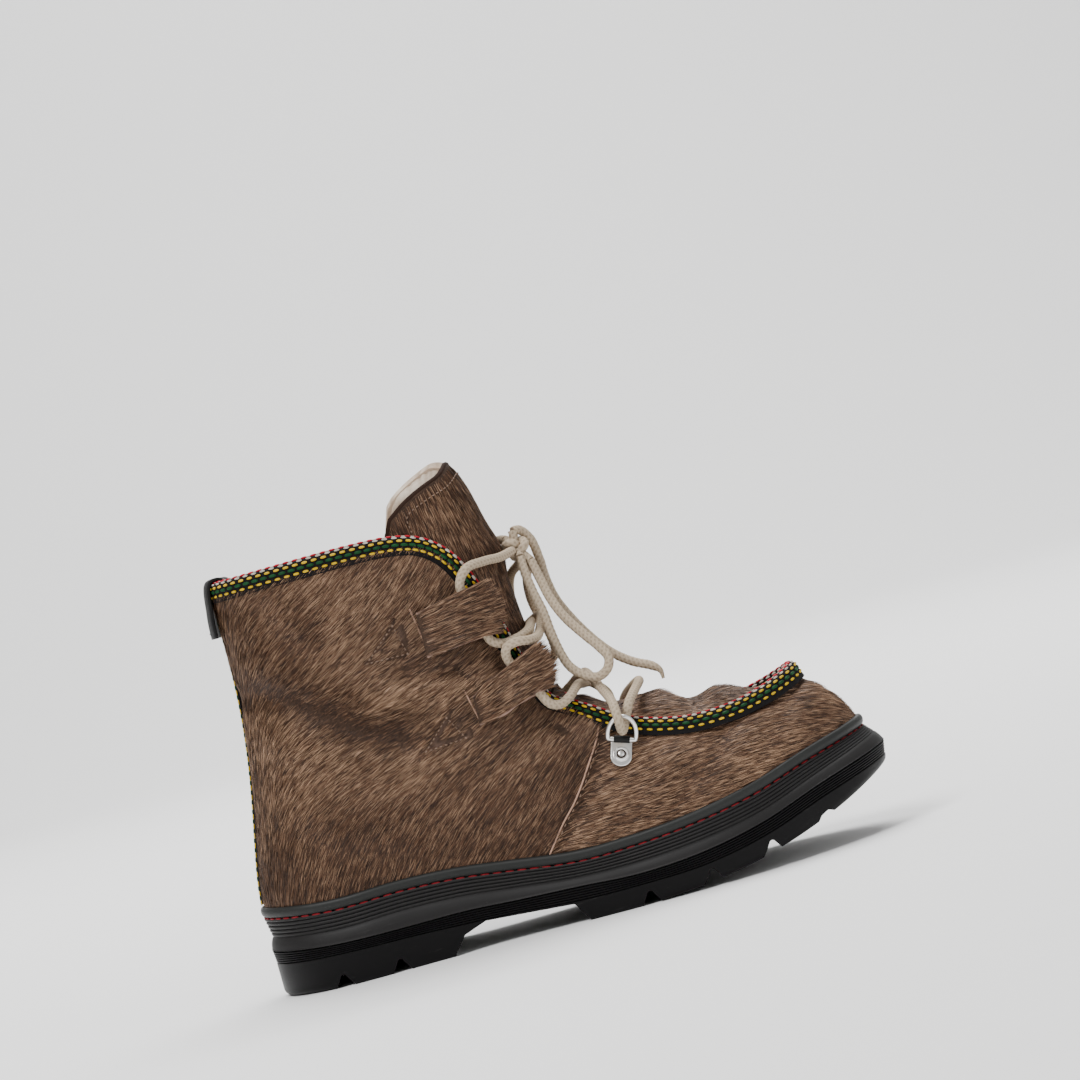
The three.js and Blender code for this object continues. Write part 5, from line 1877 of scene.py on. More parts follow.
        # Painted shade: darker in the creases and lighter on the ridges, and darker towards the bottom of the quarter.
        shade = 0.075 * self.folds(points) - 0.15 * smoothstep(85, 42, points[..., 2]) * (gap < 0)
        parts = (("hair_quarter_lateral", (gap < 0) & lateral), ("hair_quarter_medial", (gap < 0) & ~lateral),
                 ("hair_vamp", gap >= 0))
        for number, (name, mask) in enumerate(parts):
            pelt = Pelt(density=self.density, length=self.length, width=self.widths[number], seed=11 + number)
            skin = patch_object(name + "_skin", points, mask, True)
            self.kit.grow(name, skin, pelt, "hair_on_calf", flow, cover=cover, fur=fur, shade=shade)

    def build(self) -> None:
        """Makes the upper and everything sewn on it."""
        points, normals = self.shell()
        sheet = sheet_object("calf_upper", points, closed=True, material=self.kit.finishes["hide"])
        line, _ = self.dart(points)
        parted = (points[..., 0] < 22) & (points[..., 2] > 130) & (points[..., 2] < 160)
        paint(sheet, "bare", 0.35 * np.exp(-((line / 0.7) ** 2)) + 0.5 * parted)
        self.kit.ride(thicken(sheet, WALL), "hair_on_calf", "upper")
        self.hair(points, normals)
        self.sew()
        self.line()

    def seen(self, side: Side, course: Iterable[Sequence[float]], lift: float) -> tuple[Array, Array]:
        """Points over one side along a course seen from it.

        Args:
            side: the side.
            course: x and z of each point.
            lift: height over the form.

        Returns:
            The points and their normals.
        """
        found = [self.kit.last.find(side, float(x), float(z)) for x, z in course]
        normals = np.array([normal for _, normal in found])
        return np.array([point for point, _ in found]) + normals * lift, normals

    def sew(self) -> None:
        """Stitches beside the side seam and round the darts, the seam's cut edge and the slits' edges."""
        kit, last = self.kit, self.kit.last
        rows = []

        def edge(name: str, side: Side, course: Iterable[Sequence[float]], lift: float, radius: float) -> None:
            """A cut edge of the hide."""
            points, _ = self.seen(side, course, lift)
            kit.ride(tube(name, points, radius, 6, kit.finishes["cut_edge"]), "hair_on_calf")

        def stitch(side: Side, course: Iterable[Sequence[float]], lift: float, size: tuple) -> None:
            """A row of stitches."""
            places, up = self.seen(side, course, lift)
            rows.append((places, ahead_of(places), up, size))

        for side in Side:
            pitch, size = self.seam_stitch
            stitch(side, [(float(last.seam_x(z)) + 1.6, z) for z in np.arange(36, 72, pitch)], 0.9, size)
            pitch, size = self.dart_stitch
            for corners in self.darts:
                for start, end in zip(corners, (*corners[1:], corners[0])):
                    course = evenly(np.array([(*start, 0), (*end, 0)], float), pitch)[:, :2]
                    stitch(side, course, 1.2, size)
            seam = [(float(last.seam_x(z)) + 0.1, z) for z in np.linspace(23, 93, 60)]
            edge(f"seam_edge_{side.word}", side, seam, 0.9, 0.4)
            for number, (start, end) in enumerate(self.slits):
                edge(f"slit_edge_{number}_{side.word}", side, np.linspace(start, end, 8), OVERLAP + 0.5, 0.45)
        kit.sew("upper_stitches", "pale_thread", "hair_on_calf", *rows)

    def line(self) -> None:
        """Fleece all over the inside, thick at the collar."""
        kit, last = self.kit, self.kit.last
        rise = np.concatenate([[1.0, 0.997, 0.99, 0.978], np.linspace(0.96, 0.02, 38)])
        depth = np.concatenate([[3.1, 4.4, 6.0, 7.2], np.full(38, self.wool)])
        turn, up = np.meshgrid(all_round(230), rise)
        form, normals = last.wall(turn, up), last.wall_normal(turn, up)
        narrow = smoothstep(0.5, 0.66, share_of(turn))
        base = blend(depth[:, None], np.minimum(depth[:, None], 4.0), narrow)
        lumps = rough(form, 4.2, 3.0, 3)
        height = 1.5 * lumps * smoothstep(3, 6, base)
        points = form - normals * (base + height)[..., None]
        sheet = sheet_object("fleece_lining", points, closed=True, material=kit.finishes["fleece"])
        # Tone follows the lumps: painted shade in the hollows, paler on the bumps.
        paint(sheet, "tone", np.clip(0.5 + 0.9 * lumps, 0, 1))
        kit.ride(sheet, "hair_on_calf")
        skin = patch_object("lining_skin", points, (up > 0.45) & (share_of(turn) < 0.52), True)
        kit.curl("fleece_curls", skin, points, -normals, "hair_on_calf", 23)


class YarnRow(Enum):
    """A row of the tape's weave: how far from its crest, shift in pitches, size and finish."""

    CREST = (0.0, 0.5, (2.8, 2.8, 1.0), "red_yarn")
    WHITE = (1.95, 0.0, (2.5, 1.1, 0.9), "white_yarn")
    YELLOW = (3.55, 0.5, (2.6, 1.2, 0.9), "yellow_yarn")
    GREEN = (5.3, 0.0, (3.4, 1.55, 0.9), "green_yarn")
    LOW_YELLOW = (7.3, 0.42, (2.6, 1.2, 0.9), "yellow_yarn")


@dataclass
class Tape:
    """Woven tape folded over the collar, throat and toe ridge, and up the back seam."""

    kit: Kit
    columns: int = 380
    pitch: float = 4.1
    half: float = BINDING_WIDTH / 2
    crown: float = 2.9
    # length, width and height of a dash of the crest's side rows and of the back strip's
    strip_half: float = 4.5
    side_dash: tuple = (2.4, 0.5, 0.6)
    strip_dash: tuple = (2.4, 1.4, 0.8)
    # The back strip's rows: share of half its width, shift in pitches, finish
    strip: tuple = ((-0.66, 0, "yellow_yarn"), (-0.33, 0.5, "green_yarn"), (0, 0, "white_yarn"),
                    (0.33, 0.5, "green_yarn"), (0.66, 0, "yellow_yarn"))

    def section(self) -> tuple[Array, Array, Array]:
        """The fold's outer side.

        Returns:
            Arc from the crest, place across and height of each point.
        """
        top = BINDING_HEIGHT + GAP
        swing = np.linspace(0, math.pi / 2, 9)
        across = np.concatenate([self.half * np.sin(swing), [self.half, self.half + 0.2, self.half + 0.6]])
        height = np.concatenate([top - self.crown * (1 - np.cos(swing)), [3.0, 1.4, -1.2]])
        arc = np.concatenate([[0], np.cumsum(np.hypot(np.diff(across), np.diff(height)))])
        return arc, across, height

    def at(self, turn: Array, arc: float, lift: float = 0.0) -> tuple[Array, Array, Array]:
        """Points on the fold.

        Args:
            turn: the turns round the boot.
            arc: how far from the crest, with a minus outside.
            lift: height over the fold.

        Returns:
            The points, the way out and the way along.
        """
        middle, up, inward, _ = self.kit.last.edge_frame(turn)
        arcs, across, height = self.section()
        side = 1 if arc > 0 else -1
        a, h = np.interp(abs(arc), arcs, across), np.interp(abs(arc), arcs, height)
        b, i = np.interp(abs(arc) + 0.3, arcs, across), np.interp(abs(arc) + 0.3, arcs, height)
        down = unit(np.array([b - a, i - h]))
        out = unit(inward * side * -down[1] + up * down[0])
        points = middle + inward * side * a + up * h + out * lift
        return points, out, unit(np.roll(points, -1, 0) - np.roll(points, 1, 0))

    def build(self) -> None:
        """Makes the ground of the tape and its rows of dashes."""
        kit = self.kit
        turns = all_round(self.columns)
        _, across, height = self.section()
        places = [(-a, h) for a, h in zip(across[::-1], height[::-1])] + list(zip(across[1:], height[1:]))
        inner = [(self.half - 0.4, 0.4), (-self.half + 0.4, 0.4)]
        places = [p for p in places if p[0] < 0 or p[1] > 0.4] + inner
        middle, up, inward, _ = kit.last.edge_frame(turns)
        loops = [middle + inward * a + up * h for a, h in places]
        ground = loop_object("tape_ground", loops[::-1], kit.finishes["tape"], 60)
        kit.ride(ground, "woven_tape", "edge_binding")
        by_finish: dict[str, list] = {}
        dense = all_round(4000)
        crest, _, _ = self.at(dense, -0.001)
        along = along_line(np.vstack([crest, crest[:1]]))
        count = int(round(along[-1] / self.pitch))

        def row(finish: str, arc: float, shift: float, lift: float, size: tuple) -> None:
            """Adds a row of dashes.

            Args:
                finish: their finish.
                arc: how far from the crest, with a minus outside.
                shift: shift along the tape in pitches.
                lift: height over the fold.
                size: length, width and height of a dash.
            """
            where = np.sort((np.arange(count) + shift) % count * along[-1] / count)
            points, out, ahead = self.at(np.interp(where, along, np.append(dense, FULL)), arc, lift)
            by_finish.setdefault(finish, []).append((points, ahead, out, size))

        for arc, shift, size, finish in (weave.value for weave in YarnRow):
            for side in ((-1, 1) if arc else (-1,)):
                row(finish, side * max(arc, 1e-3), shift, 0.12, size)
        for arc in (-0.42, 0.42):
            row("white_yarn", arc, 0, 0.1, self.side_dash)
        for finish, rows in by_finish.items():
            kit.sew(f"tape_{finish}", finish, "woven_tape", *rows)

    def back(self) -> None:
        """The narrow strip of tape over the back seam."""
        kit, last = self.kit, self.kit.last
        reach = self.strip_half / last.heel_spread()
        rise = np.linspace(0.065, 0.965, 90)
        columns = np.linspace(-1, 1, 13)
        turn, up = np.meshgrid(columns * reach, rise)
        form, normals = last.wall(turn, up), last.wall_normal(turn, up)
        arch = OVERLAP + GAP + 1.3 - 0.9 * np.abs(columns) ** 3
        strip = sheet_object("back_tape", form + normals * arch[None, :, None], material=kit.finishes["tape"])
        kit.ride(thicken(strip, 1.3), "woven_strip", "back_strip")
        by_finish: dict[str, list] = {}
        for across, shift, finish in self.strip:
            turn = np.full(90, across * reach)
            line = last.wall(turn, rise)
            line += last.wall_normal(turn, rise) * (OVERLAP + GAP + 1.35 - 0.9 * abs(across) ** 3)
            spots = evenly(line, self.pitch)[:-1]
            ahead = ahead_of(spots)
            out = unit(np.cross(np.cross(ahead, [-1.0, 0, 0]), ahead))
            row = (spots + ahead * self.pitch * shift, ahead, out, self.strip_dash)
            by_finish.setdefault(finish, []).append(row)
        for finish, rows in by_finish.items():
            kit.sew(f"back_{finish}", finish, "woven_strip", *rows)


@dataclass
class Front:
    """Apron and tongue: one crowned form parted at the instep seam."""

    kit: Kit
    # x, rise, lean
    crown: tuple = ((0.54, 0.035, 0.6), (0.58, 0.035, 0.3), (0.63, 0.064, 0.1), (0.672, 0.084, 0), (0.695, 0.075, 0),
                    (0.716, 0.062, 0), (0.735, 0.059, 0), (0.757, 0.0635, 0), (0.785, 0.059, 0), (0.815, 0.042, 0),
                    (0.87, 0.013, 0), (0.9, 0.002, 0))
    # front, frontZ, wing, wingZ, half, bow
    rows: tuple = ((0.535, 0.56, 0.496, 0.515, 0.212, 1.2), (0.527, 0.605, 0.458, 0.55, 0.224, 1.1),
                   (0.516, 0.66, 0.425, 0.61, 0.235, 1), (0.51, 0.74, 0.392, 0.69, 0.247, 0.9),
                   (0.507, 0.83, 0.366, 0.78, 0.257, 0.8), (0.507, 0.905, 0.35, 0.86, 0.265, 0.7),
                   (0.498, 0.97, 0.343, 0.92, 0.268, 0.6), (0.486, 1.04, 0.341, 0.965, 0.266, 0.45),
                   (0.464, 1.127, 0.34, 0.99, 0.262, 0.35))
    seam: tuple = ((0.515, 0.4), (0.547, 0.62))
    columns: int = 46
    leaf: float = 3.0
    apron_hair: Pelt = field(default_factory=lambda: Pelt(density=2.3, length=7.0, width=0.36, seed=31))
    tongue_hair: Pelt = field(default_factory=lambda: Pelt(density=2.7, length=6.4, width=0.3, swing=0.04, seed=37))
    # pitch, and one stitch's length, width and height
    stitch: tuple = (2.2, (1.2, 0.6, 0.6))

    def apron_row(self, turn: float, far_turn: float) -> Array:
        """A section of the apron between two places of the edge.

        Args:
            turn: the turn of its lateral end.
            far_turn: the turn of its medial end.

        Returns:
            Points from one end to the other.
        """
        inset = BINDING_WIDTH / 2 + GAP
        middle, up, inward, _ = self.kit.last.edge_frame(np.array([turn, far_turn]))
        x = float(middle[0, 0]) / LENGTH
        near, far = middle + inward * inset + up * blend(0.45, 0.1, smoothstep(0.77, 0.87, x)) * BINDING_HEIGHT
        table = np.array(self.crown)
        rise = COLLAR * float(Curve(table[:, 0], table[:, 1])(x))
        lean = float(Curve(table[:, 0], table[:, 2])(x))
        way = np.array([lean, 0, math.sqrt(1 - lean * lean)])
        swing = np.pi * np.arange(self.columns + 1) / self.columns
        share = ((1 - np.cos(swing)) / 2)[:, None]
        return blend(near, far, share) + way * rise * (np.sin(swing).clip(0) ** 0.85)[:, None]

    def tongue_row(self, row: Sequence[float]) -> Array:
        """A section of the tongue.

        Args:
            row: its row of the table.

        Returns:
            Points from one wing to the other.
        """
        front, front_z, wing, wing_z, half, bow = row
        swing = np.pi * (np.arange(self.columns + 1) / self.columns - 0.5)
        ahead = np.cos(swing).clip(0)
        beside = np.sign(swing) * np.abs(np.sin(swing)) ** 0.8
        return np.stack([LENGTH * blend(wing, front, ahead**0.8), BALL * half * beside,
                         COLLAR * blend(wing_z, front_z, ahead**bow)], 1)

    def grid(self) -> Array:
        """Sections from the toe back over the instep and up the tongue.

        Returns:
            The points of both leaves.
        """
        turns = np.linspace(math.pi - 0.012, turn_of(0.578), 70)
        apron = [self.apron_row(turn, FULL - turn) for turn in turns]
        return refine(np.array(apron + [self.tongue_row(row) for row in self.rows]), 132, self.columns + 1)

    def build(self) -> None:
        """Makes both leaves, the tongue's fleece and its stitched edge."""
        whole = self.grid()
        (x0, z0), (x1, z1) = (np.array(p) * (LENGTH, COLLAR) for p in self.seam)
        middle = whole[:, self.columns // 2]
        ahead = (middle[:, 0] - x0) * (z1 - z0) - (middle[:, 2] - z0) * (x1 - x0)
        cut = int(np.argmax(ahead < 0))
        self.apron(whole[:cut])
        self.tongue(whole[cut:])

    def hide(self, name: str, grid: Array, slot: str, node: str, flow: Array, pelt: Pelt,
             cover: Array | None = None, shade: float = 0.0, back: Material | None = None) -> None:
        """A leaf of calf with its hair.

        Args:
            name: the leaf's name.
            grid: its outer face.
            slot: a label handed on to ride.
            node: the solid that it stands for.
            flow: the way the hair lies.
            pelt: how the hair grows.
            cover: share of the hair on each point, or all of it.
            shade: how much lighter than the rest its hair is.
            back: finish of its back where it differs.
        """
        sheet = sheet_object(name, grid, material=self.kit.finishes["hide"])
        self.kit.ride(thicken(sheet, self.leaf, 0.5, back=back), slot, node)
        normals = grid_normals(grid, False)
        flow = unit(flow - normals * (flow * normals).sum(-1, keepdims=True))
        ones = np.ones(grid.shape[:2])
        self.kit.grow("hair_" + node, sheet_object(name + "_skin", grid), pelt, slot, flow,
                      cover=ones if cover is None else cover, shade=shade * ones)

    def apron(self, grid: Array) -> None:
        """The crowned plug over the toes.

        Args:
            grid: its outer face.
        """
        grid = grid + UP * (0.5 * rough(grid, 16, 5))[..., None]
        none = np.zeros(grid.shape[:2])
        flow = np.stack([none + 1, 0.2 * np.sin(grid[..., 0] / 19), none], -1)
        self.hide("calf_apron", grid, "apron_calf", "apron", flow, self.apron_hair)

    def tongue(self, grid: Array) -> None:
        """The tall tongue, its lining and its edge.

        Args:
            grid: its outer face.
        """
        kit = self.kit
        rows, columns = grid.shape[:2]
        across = np.linspace(-1, 1, columns)[None, :]
        up = np.arange(rows) / (rows - 1)
        high = smoothstep(0.5, 0.95, up)[:, None]
        wing = smoothstep(0.08, 0.5, np.abs(across)) * (1 - 0.35 * smoothstep(0.93, 1, np.abs(across)))
        grid = grid.copy()
        grid[..., 2] += np.where(across < 0, -3.0, 3.6) * wing * high
        grid[..., 0] += np.where(across < 0, 1.6, -0.6) * wing * high
        grid[..., 0] += 0.7 * np.sin(grid[..., 2] / 7.5) * (1 - np.abs(across)) * high
        normals = grid_normals(grid, False)
        flow = np.broadcast_to(np.array([0.12, 0, -1.0]), grid.shape)
        shown = smoothstep(0.2, 0.3, up)[:, None] * np.ones((1, columns))
        self.hide("calf_tongue", grid, "tongue_calf", "tongue", flow, self.tongue_hair, shown, -0.12,
                  kit.finishes["fleece"])
        self.fleece(grid, normals)
        low, middle = rows // 3, columns // 2 + 2

        def rim(of: Array) -> Array:
            """What lies along the lateral and top rim."""
            return np.vstack([of[low:, 0], of[-1, 1:middle]])

        def inset(of: Array) -> Array:
            """What lies a little inside the rim."""
            return np.vstack([of[low:-4, 3], of[-4, 4:-4], of[low:-4, -4][::-1]])

        near = evenly(rim(grid) - 1.2 * rim(normals), 1.5)
        kit.ride(tube("tongue_edge", near, 1.35, 8, kit.finishes["dark_edge"]), "tongue_calf")
        course, lift = inset(grid), inset(normals)
        pitch, size = self.stitch
        line = evenly(course + lift * 0.9, pitch)
        nearest = np.argmin(np.linalg.norm(line[:, None] - course[None], axis=2), 1)
        kit.sew("tongue_stitches", "pale_thread", "tongue_calf", (line, ahead_of(line), lift[nearest], size))

    def fleece(self, grid: Array, normals: Array) -> None:
        """Wool behind the tongue, rolled over its medial edge.

        Args:
            grid: the tongue's outer face.
            normals: the way out of it.
        """
        kit = self.kit
        rows, columns = grid.shape[:2]
        across = np.linspace(-1, 1, columns)[None, :] * np.ones((rows, 1))
        to_side, to_top = np.arange(columns)[::-1][None, :], np.arange(rows)[::-1][:, None]
        from_edge = np.minimum(np.minimum(to_side[:, ::-1], to_side), to_top).astype(float)
        lumps = rough(grid, 4.2, 6.0, 3)
        rim = smoothstep(0, 3.5, from_edge)
        far = smoothstep(-0.1, 0.25, across)
        depth = blend(self.leaf - 0.2, 0.7, far * (1 - rim)) + rim * (3.4 + 1.3 * lumps)
        beside = unit(grid[:, -1] - grid[:, -3])[:, None]
        above = unit(grid[-1] - grid[-3])[None, :]
        outward = np.where((from_edge == to_side)[..., None], beside, above)
        bulge = 2.2 * far * np.exp(-((from_edge - 0.8) ** 2) / 1.6)
        inner = grid - normals * depth[..., None] + outward * bulge[..., None]
        lining = sheet_object("tongue_fleece", inner, flip=True, material=kit.finishes["fleece"])
        # Tone follows the lumps: painted shade in the hollows, paler on the bumps.
        paint(lining, "tone", np.clip(0.55 + 0.9 * lumps, 0, 1))
        kit.ride(thicken(lining, 0.8), "tongue_calf")
        high = (np.arange(rows) / rows > 0.35)[:, None] & (from_edge > 3)
        skin = patch_object("wool_skin", inner, high, False, flip=True)
        kit.curl("tongue_curls", skin, inner, -normals, "tongue_calf", 29, 2.2)


@dataclass
class Straps:
    """Four folded lace straps of the same calf, each out of a slit."""

    kit: Kit
    # name, slit, slitTop, slitLow, fold, foldTop, foldLow, pulled
    rows: tuple = (("upper", 0.357, 0.803, 0.694, 0.462, 0.832, 0.703, 0.15),
                   ("lower", 0.408, 0.578, 0.508, 0.502, 0.649, 0.53, 1.1))
    # run, open
    course: tuple = ((0, 0.32), (0.25, 0.6), (0.5, 0.93), (0.72, 1), (0.9, 0.94), (0.98, 0.74), (1, 0.45),
                     (0.97, 0.15), (0.9, 0), (0.75, 0), (0.6, 0), (0.45, 0), (0.3, 0), (0.06, 0))

    def grid(self, row: Sequence[Any], side: Side) -> Array:
        """The strap's outer face from its slit round the fold and back.

        Args:
            row: its row of the table.
            side: the boot's side.

        Returns:
            A coarse grid of points.
        """
        _, slit, slit_top, slit_low, fold, fold_top, fold_low, pulled = row
        lift, room = OVERLAP + STRAP_LIFT + STRAP, LACE + STRAP + 2 * GAP
        out = []
        for run, opened in self.course:
            line = []
            for down in (0, 1 / 3, 2 / 3, 1):
                bulge = 0.014 * math.sin(math.pi * down)
                x = LENGTH * blend(slit, fold + bulge, run)
                z = COLLAR * blend(blend(slit_top, slit_low, down), blend(fold_top, fold_low, down), run)
                point, normal = self.kit.last.on_side(side, x, z)
                line.append(point + normal * (lift + room * opened + LACE * pulled * run * run))
            out.append(line)
        return np.array(out)

    def build(self) -> None:
        """Makes the straps and their hair."""
        for row in self.rows:
            for side in Side:
                self.one(row, side)

    def one(self, row: Sequence[Any], side: Side) -> None:
        """Makes one strap and the hair on its outer run.

        Args:
            row: its row of the table.
            side: the boot's side.
        """
        kit, name, turned = self.kit, f"{row[0]}_{side.word}", side is Side.MEDIAL
        grid = refine(self.grid(row, side), 54, 16)
        sheet = sheet_object(f"calf_strap_{name}", grid, flip=turned, material=kit.finishes["hide"])
        bare = np.zeros(grid.shape[:2])
        bare[:, (0, -1)] = 1
        paint(sheet, "bare", bare)
        kit.ride(thicken(sheet, STRAP, 0.35), "strap_calf", f"strap_{name}")
        outer = grid[:34]
        ends = smoothstep(0, 9, np.arange(len(outer))[::-1])[:, None] * np.ones((1, outer.shape[1]))
        skin = sheet_object(f"strap_skin_{name}", outer, flip=turned)
        pelt = Pelt(density=3.0, length=7.0, width=0.3, seed=41 + len(name), swing=0.08)
        kit.grow(f"hair_strap_{name}", skin, pelt, "strap_calf", ahead_of(outer), fur=0.55 + 0.45 * ends)


@dataclass
class Hardware:
    """Lace rings on riveted plates, one on each side of the vamp."""

    kit: Kit
    at: tuple = (0.6, 0.35)
    ahead: float = 0.33
    out: float = 0.25
    # width, height, wire; then width, height, thickness
    ring: tuple = (14.0, 12.0, 1.9)
    plate: tuple = (9.0, 11.0, 1.4)
    # half width and thickness of the black band round the ring's bar
    keeper: tuple = (3.4, 0.6)
    # radius, height over the plate
    rivet: tuple = ((0, 1.35), (0.7, 1.3), (1.25, 1.05), (1.5, 0.6), (1.75, 0.5), (2.0, 0.75), (2.35, 1.25),
                    (2.75, 1.3), (3.15, 0.95), (3.4, 0.4), (3.4, -0.1))

    def build(self) -> None:
        """Makes both sets."""
        for side in Side:
            self.one(side)

    def one(self, side: Side) -> None:
        """Makes one ring, plate, black band and rivet, and the painted shade in the rivet's groove.

        Args:
            side: the boot's side.
        """
        kit = self.kit
        nickel = kit.finishes["nickel"]
        point, normal = kit.last.on_side(side, LENGTH * self.at[0], COLLAR * self.at[1])
        up = np.array([self.ahead, 0, 1.0])
        up = unit(up - normal * up.dot(normal))
        across = np.cross(up, normal)
        wide, tall, thick = self.plate
        seat = point + normal * (0.7 + thick / 2)

        def put(x: float, y: float, out: float) -> Array:
            """A point on the plate: across, up and out."""
            return seat + across * x + up * y + normal * out

        outline = [(-wide / 2, tall / 2), (wide / 2, tall / 2)]
        outline += [(wide / 2 * math.cos(a), -1.0 - (tall / 2 - 1.0) * math.sin(a))
                    for a in np.linspace(0, math.pi, 15)]
        points = np.array([put(x, y, out) for out in (-thick / 2, thick / 2) for x, y in outline])
        plate = mesh_object(f"plate_{side.word}", points, slab_faces(len(outline)), nickel, 30)
        self.outwards(plate)
        bevel = plate.modifiers.new("round", "BEVEL")
        bevel.width, bevel.segments, bevel.limit_method = 0.25 * MM, 2, "ANGLE"
        kit.ride(evaluated(plate, plate.name), "nickel", f"ring_plate_{side.word}")

        angle = all_round(32)

        def circle(radius: float, high: float) -> Array:
            """A ring of points round the rivet."""
            return np.array([put(radius * math.cos(a), radius * math.sin(a) - 0.2, thick / 2 + high) for a in angle])

        rings = [circle(radius, high) for radius, high in self.rivet[1:]]
        points = np.vstack([put(0, -0.2, thick / 2 + self.rivet[0][1]), *rings])
        faces = [[0, 1 + j, 1 + (j + 1) % 32] for j in range(32)]
        faces += grid_faces(len(rings), 32, True, start=1)
        faces.append([1 + (len(rings) - 1) * 32 + j for j in range(32)][::-1])
        rivet = mesh_object(f"rivet_head_{side.word}", points, faces, nickel, 35)
        self.outwards(rivet)
        kit.ride(rivet, "nickel", f"rivet_{side.word}")

        # Painted shade: a dark ring laid in the rivet's groove.
        shade = tube(f"rivet_ring_{side.word}", circle(1.75, 0.55), 0.28, 6, kit.finishes["dark_edge"], closed=True)
        kit.ride(shade, "nickel")

        wire = self.ring[2] / 2
        foot = put(0, tall / 2 + wire + GAP, 0.4)
        lean = unit(np.array([self.ahead, side.value * self.out, 1.0]))
        half, shoulder, reach = self.ring[0] / 2 - wire, 0.2 * self.ring[1], self.ring[1] - self.ring[2]
        outline = [(-half + 1, 0.0), (0, 0), (half - 1, 0.0), (half - 0.2, 0.5)]
        outline += [(half * math.cos(a), shoulder + (reach - shoulder) * math.sin(a))
                    for a in np.linspace(0, math.pi, 12)]
        outline += [(-half + 0.2, 0.5)]
        line = np.array([foot + across * x + lean * y for x, y in outline])
        smooth = Curve(np.arange(len(line)), line, len(line))(np.linspace(0, len(line), 96, endpoint=False))
        kit.ride(tube(f"lace_ring_{side.word}", smooth, wire, 14, nickel, closed=True), "nickel", f"ring_{side.word}")

        # A black band wrapped round the ring's bar.
        turn = np.linspace(math.radians(-60), math.radians(200), 14)
        band = np.array([[foot + across * x + up * (wire + 0.45) * math.cos(t) + normal * (wire + 0.45) * math.sin(t)
                          for x in (-self.keeper[0], self.keeper[0])] for t in turn])
        keeper = sheet_object(f"keeper_{side.word}", band, material=kit.finishes["black_leather"])
        kit.ride(thicken(keeper, self.keeper[1], flip=0), "nickel")

    @staticmethod
    def outwards(obj: Body) -> None:
        """Turns every face of a closed body out.

        Args:
            obj: the body.
        """
        shape = bmesh.new()
        shape.from_mesh(obj.data)
        bmesh.ops.recalc_face_normals(shape, faces=shape.faces)
        shape.to_mesh(obj.data)
        shape.free()


@dataclass
class Trim:
    """Footbed and the black pull tab at the heel."""

    kit: Kit
    thickness: float = 1.5
    half_width: float = 15.0
    ease: float = 1.6
    # pitch, and one stitch's length, width and height
    stitch: tuple = (2.4, (1.7, 0.6, 0.6))
    # out, high
    tab: tuple = ((-6.4, -9), (-6.4, 5.2), (-4.8, 8.5), (-1.5, 9.4), (1.8, 8.5), (3.5, 4.8), (4.6, -3), (5.4, -10),
                  (5.6, -16))

    def build(self) -> None:
        """Makes both."""
        self.footbed()
        self.pull_tab()

    def footbed(self) -> None:
        """The removable insole that the foot stands on."""
        kit, last = self.kit, self.kit.last
        turns = all_round(200)
        share = share_of(turns)
        edge = last.setback("rand", share) + WELT_WIDTH + WALL + 2 * GAP
        bottom = last.groove(share) + GAP
        sole = Sole(kit, columns=200)
        rings = [last.ring(turns, edge, bottom), last.ring(turns, edge + 1.6, bottom + 3.0),
                 last.ring(turns, edge + 2.2, bottom + 3.8), last.ring(turns, edge + 3.0, bottom + 4.0)]
        kit.ride(sole.stack("padded_footbed", rings, kit.finishes["footbed"], 50), "footbed", "insole")

    def pull_tab(self) -> None:
        """A leather tab folded over the tape at the back."""
        kit, last = self.kit, self.kit.last
        reach = self.half_width / last.heel_spread() * self.ease
        turn = np.linspace(-reach, reach, 9)
        normals = last.wall_normal(turn, np.ones(9))
        normals[:, 2] = 0
        base = last.wall(turn, np.ones(9))
        grid = np.array([base + unit(normals) * out + UP * high for out, high in self.tab])
        grid = refine(grid, 40, 16)
        sheet = sheet_object("leather_pull_tab", grid, flip=True, material=kit.finishes["black_leather"])
        kit.ride(thicken(sheet, self.thickness, 0.35), "black_leather", "pull_tab")
        row = grid[37, 2:-2]
        out = grid_normals(grid, False)[37, 2:-2]
        pitch, size = self.stitch
        line = evenly(row - out * 0.15, pitch)
        normal = -out[np.linspace(0, len(out) - 1, len(line)).astype(int)]
        kit.sew("tab_stitches", "black_thread", "black_leather", (line, ahead_of(line), normal, size))


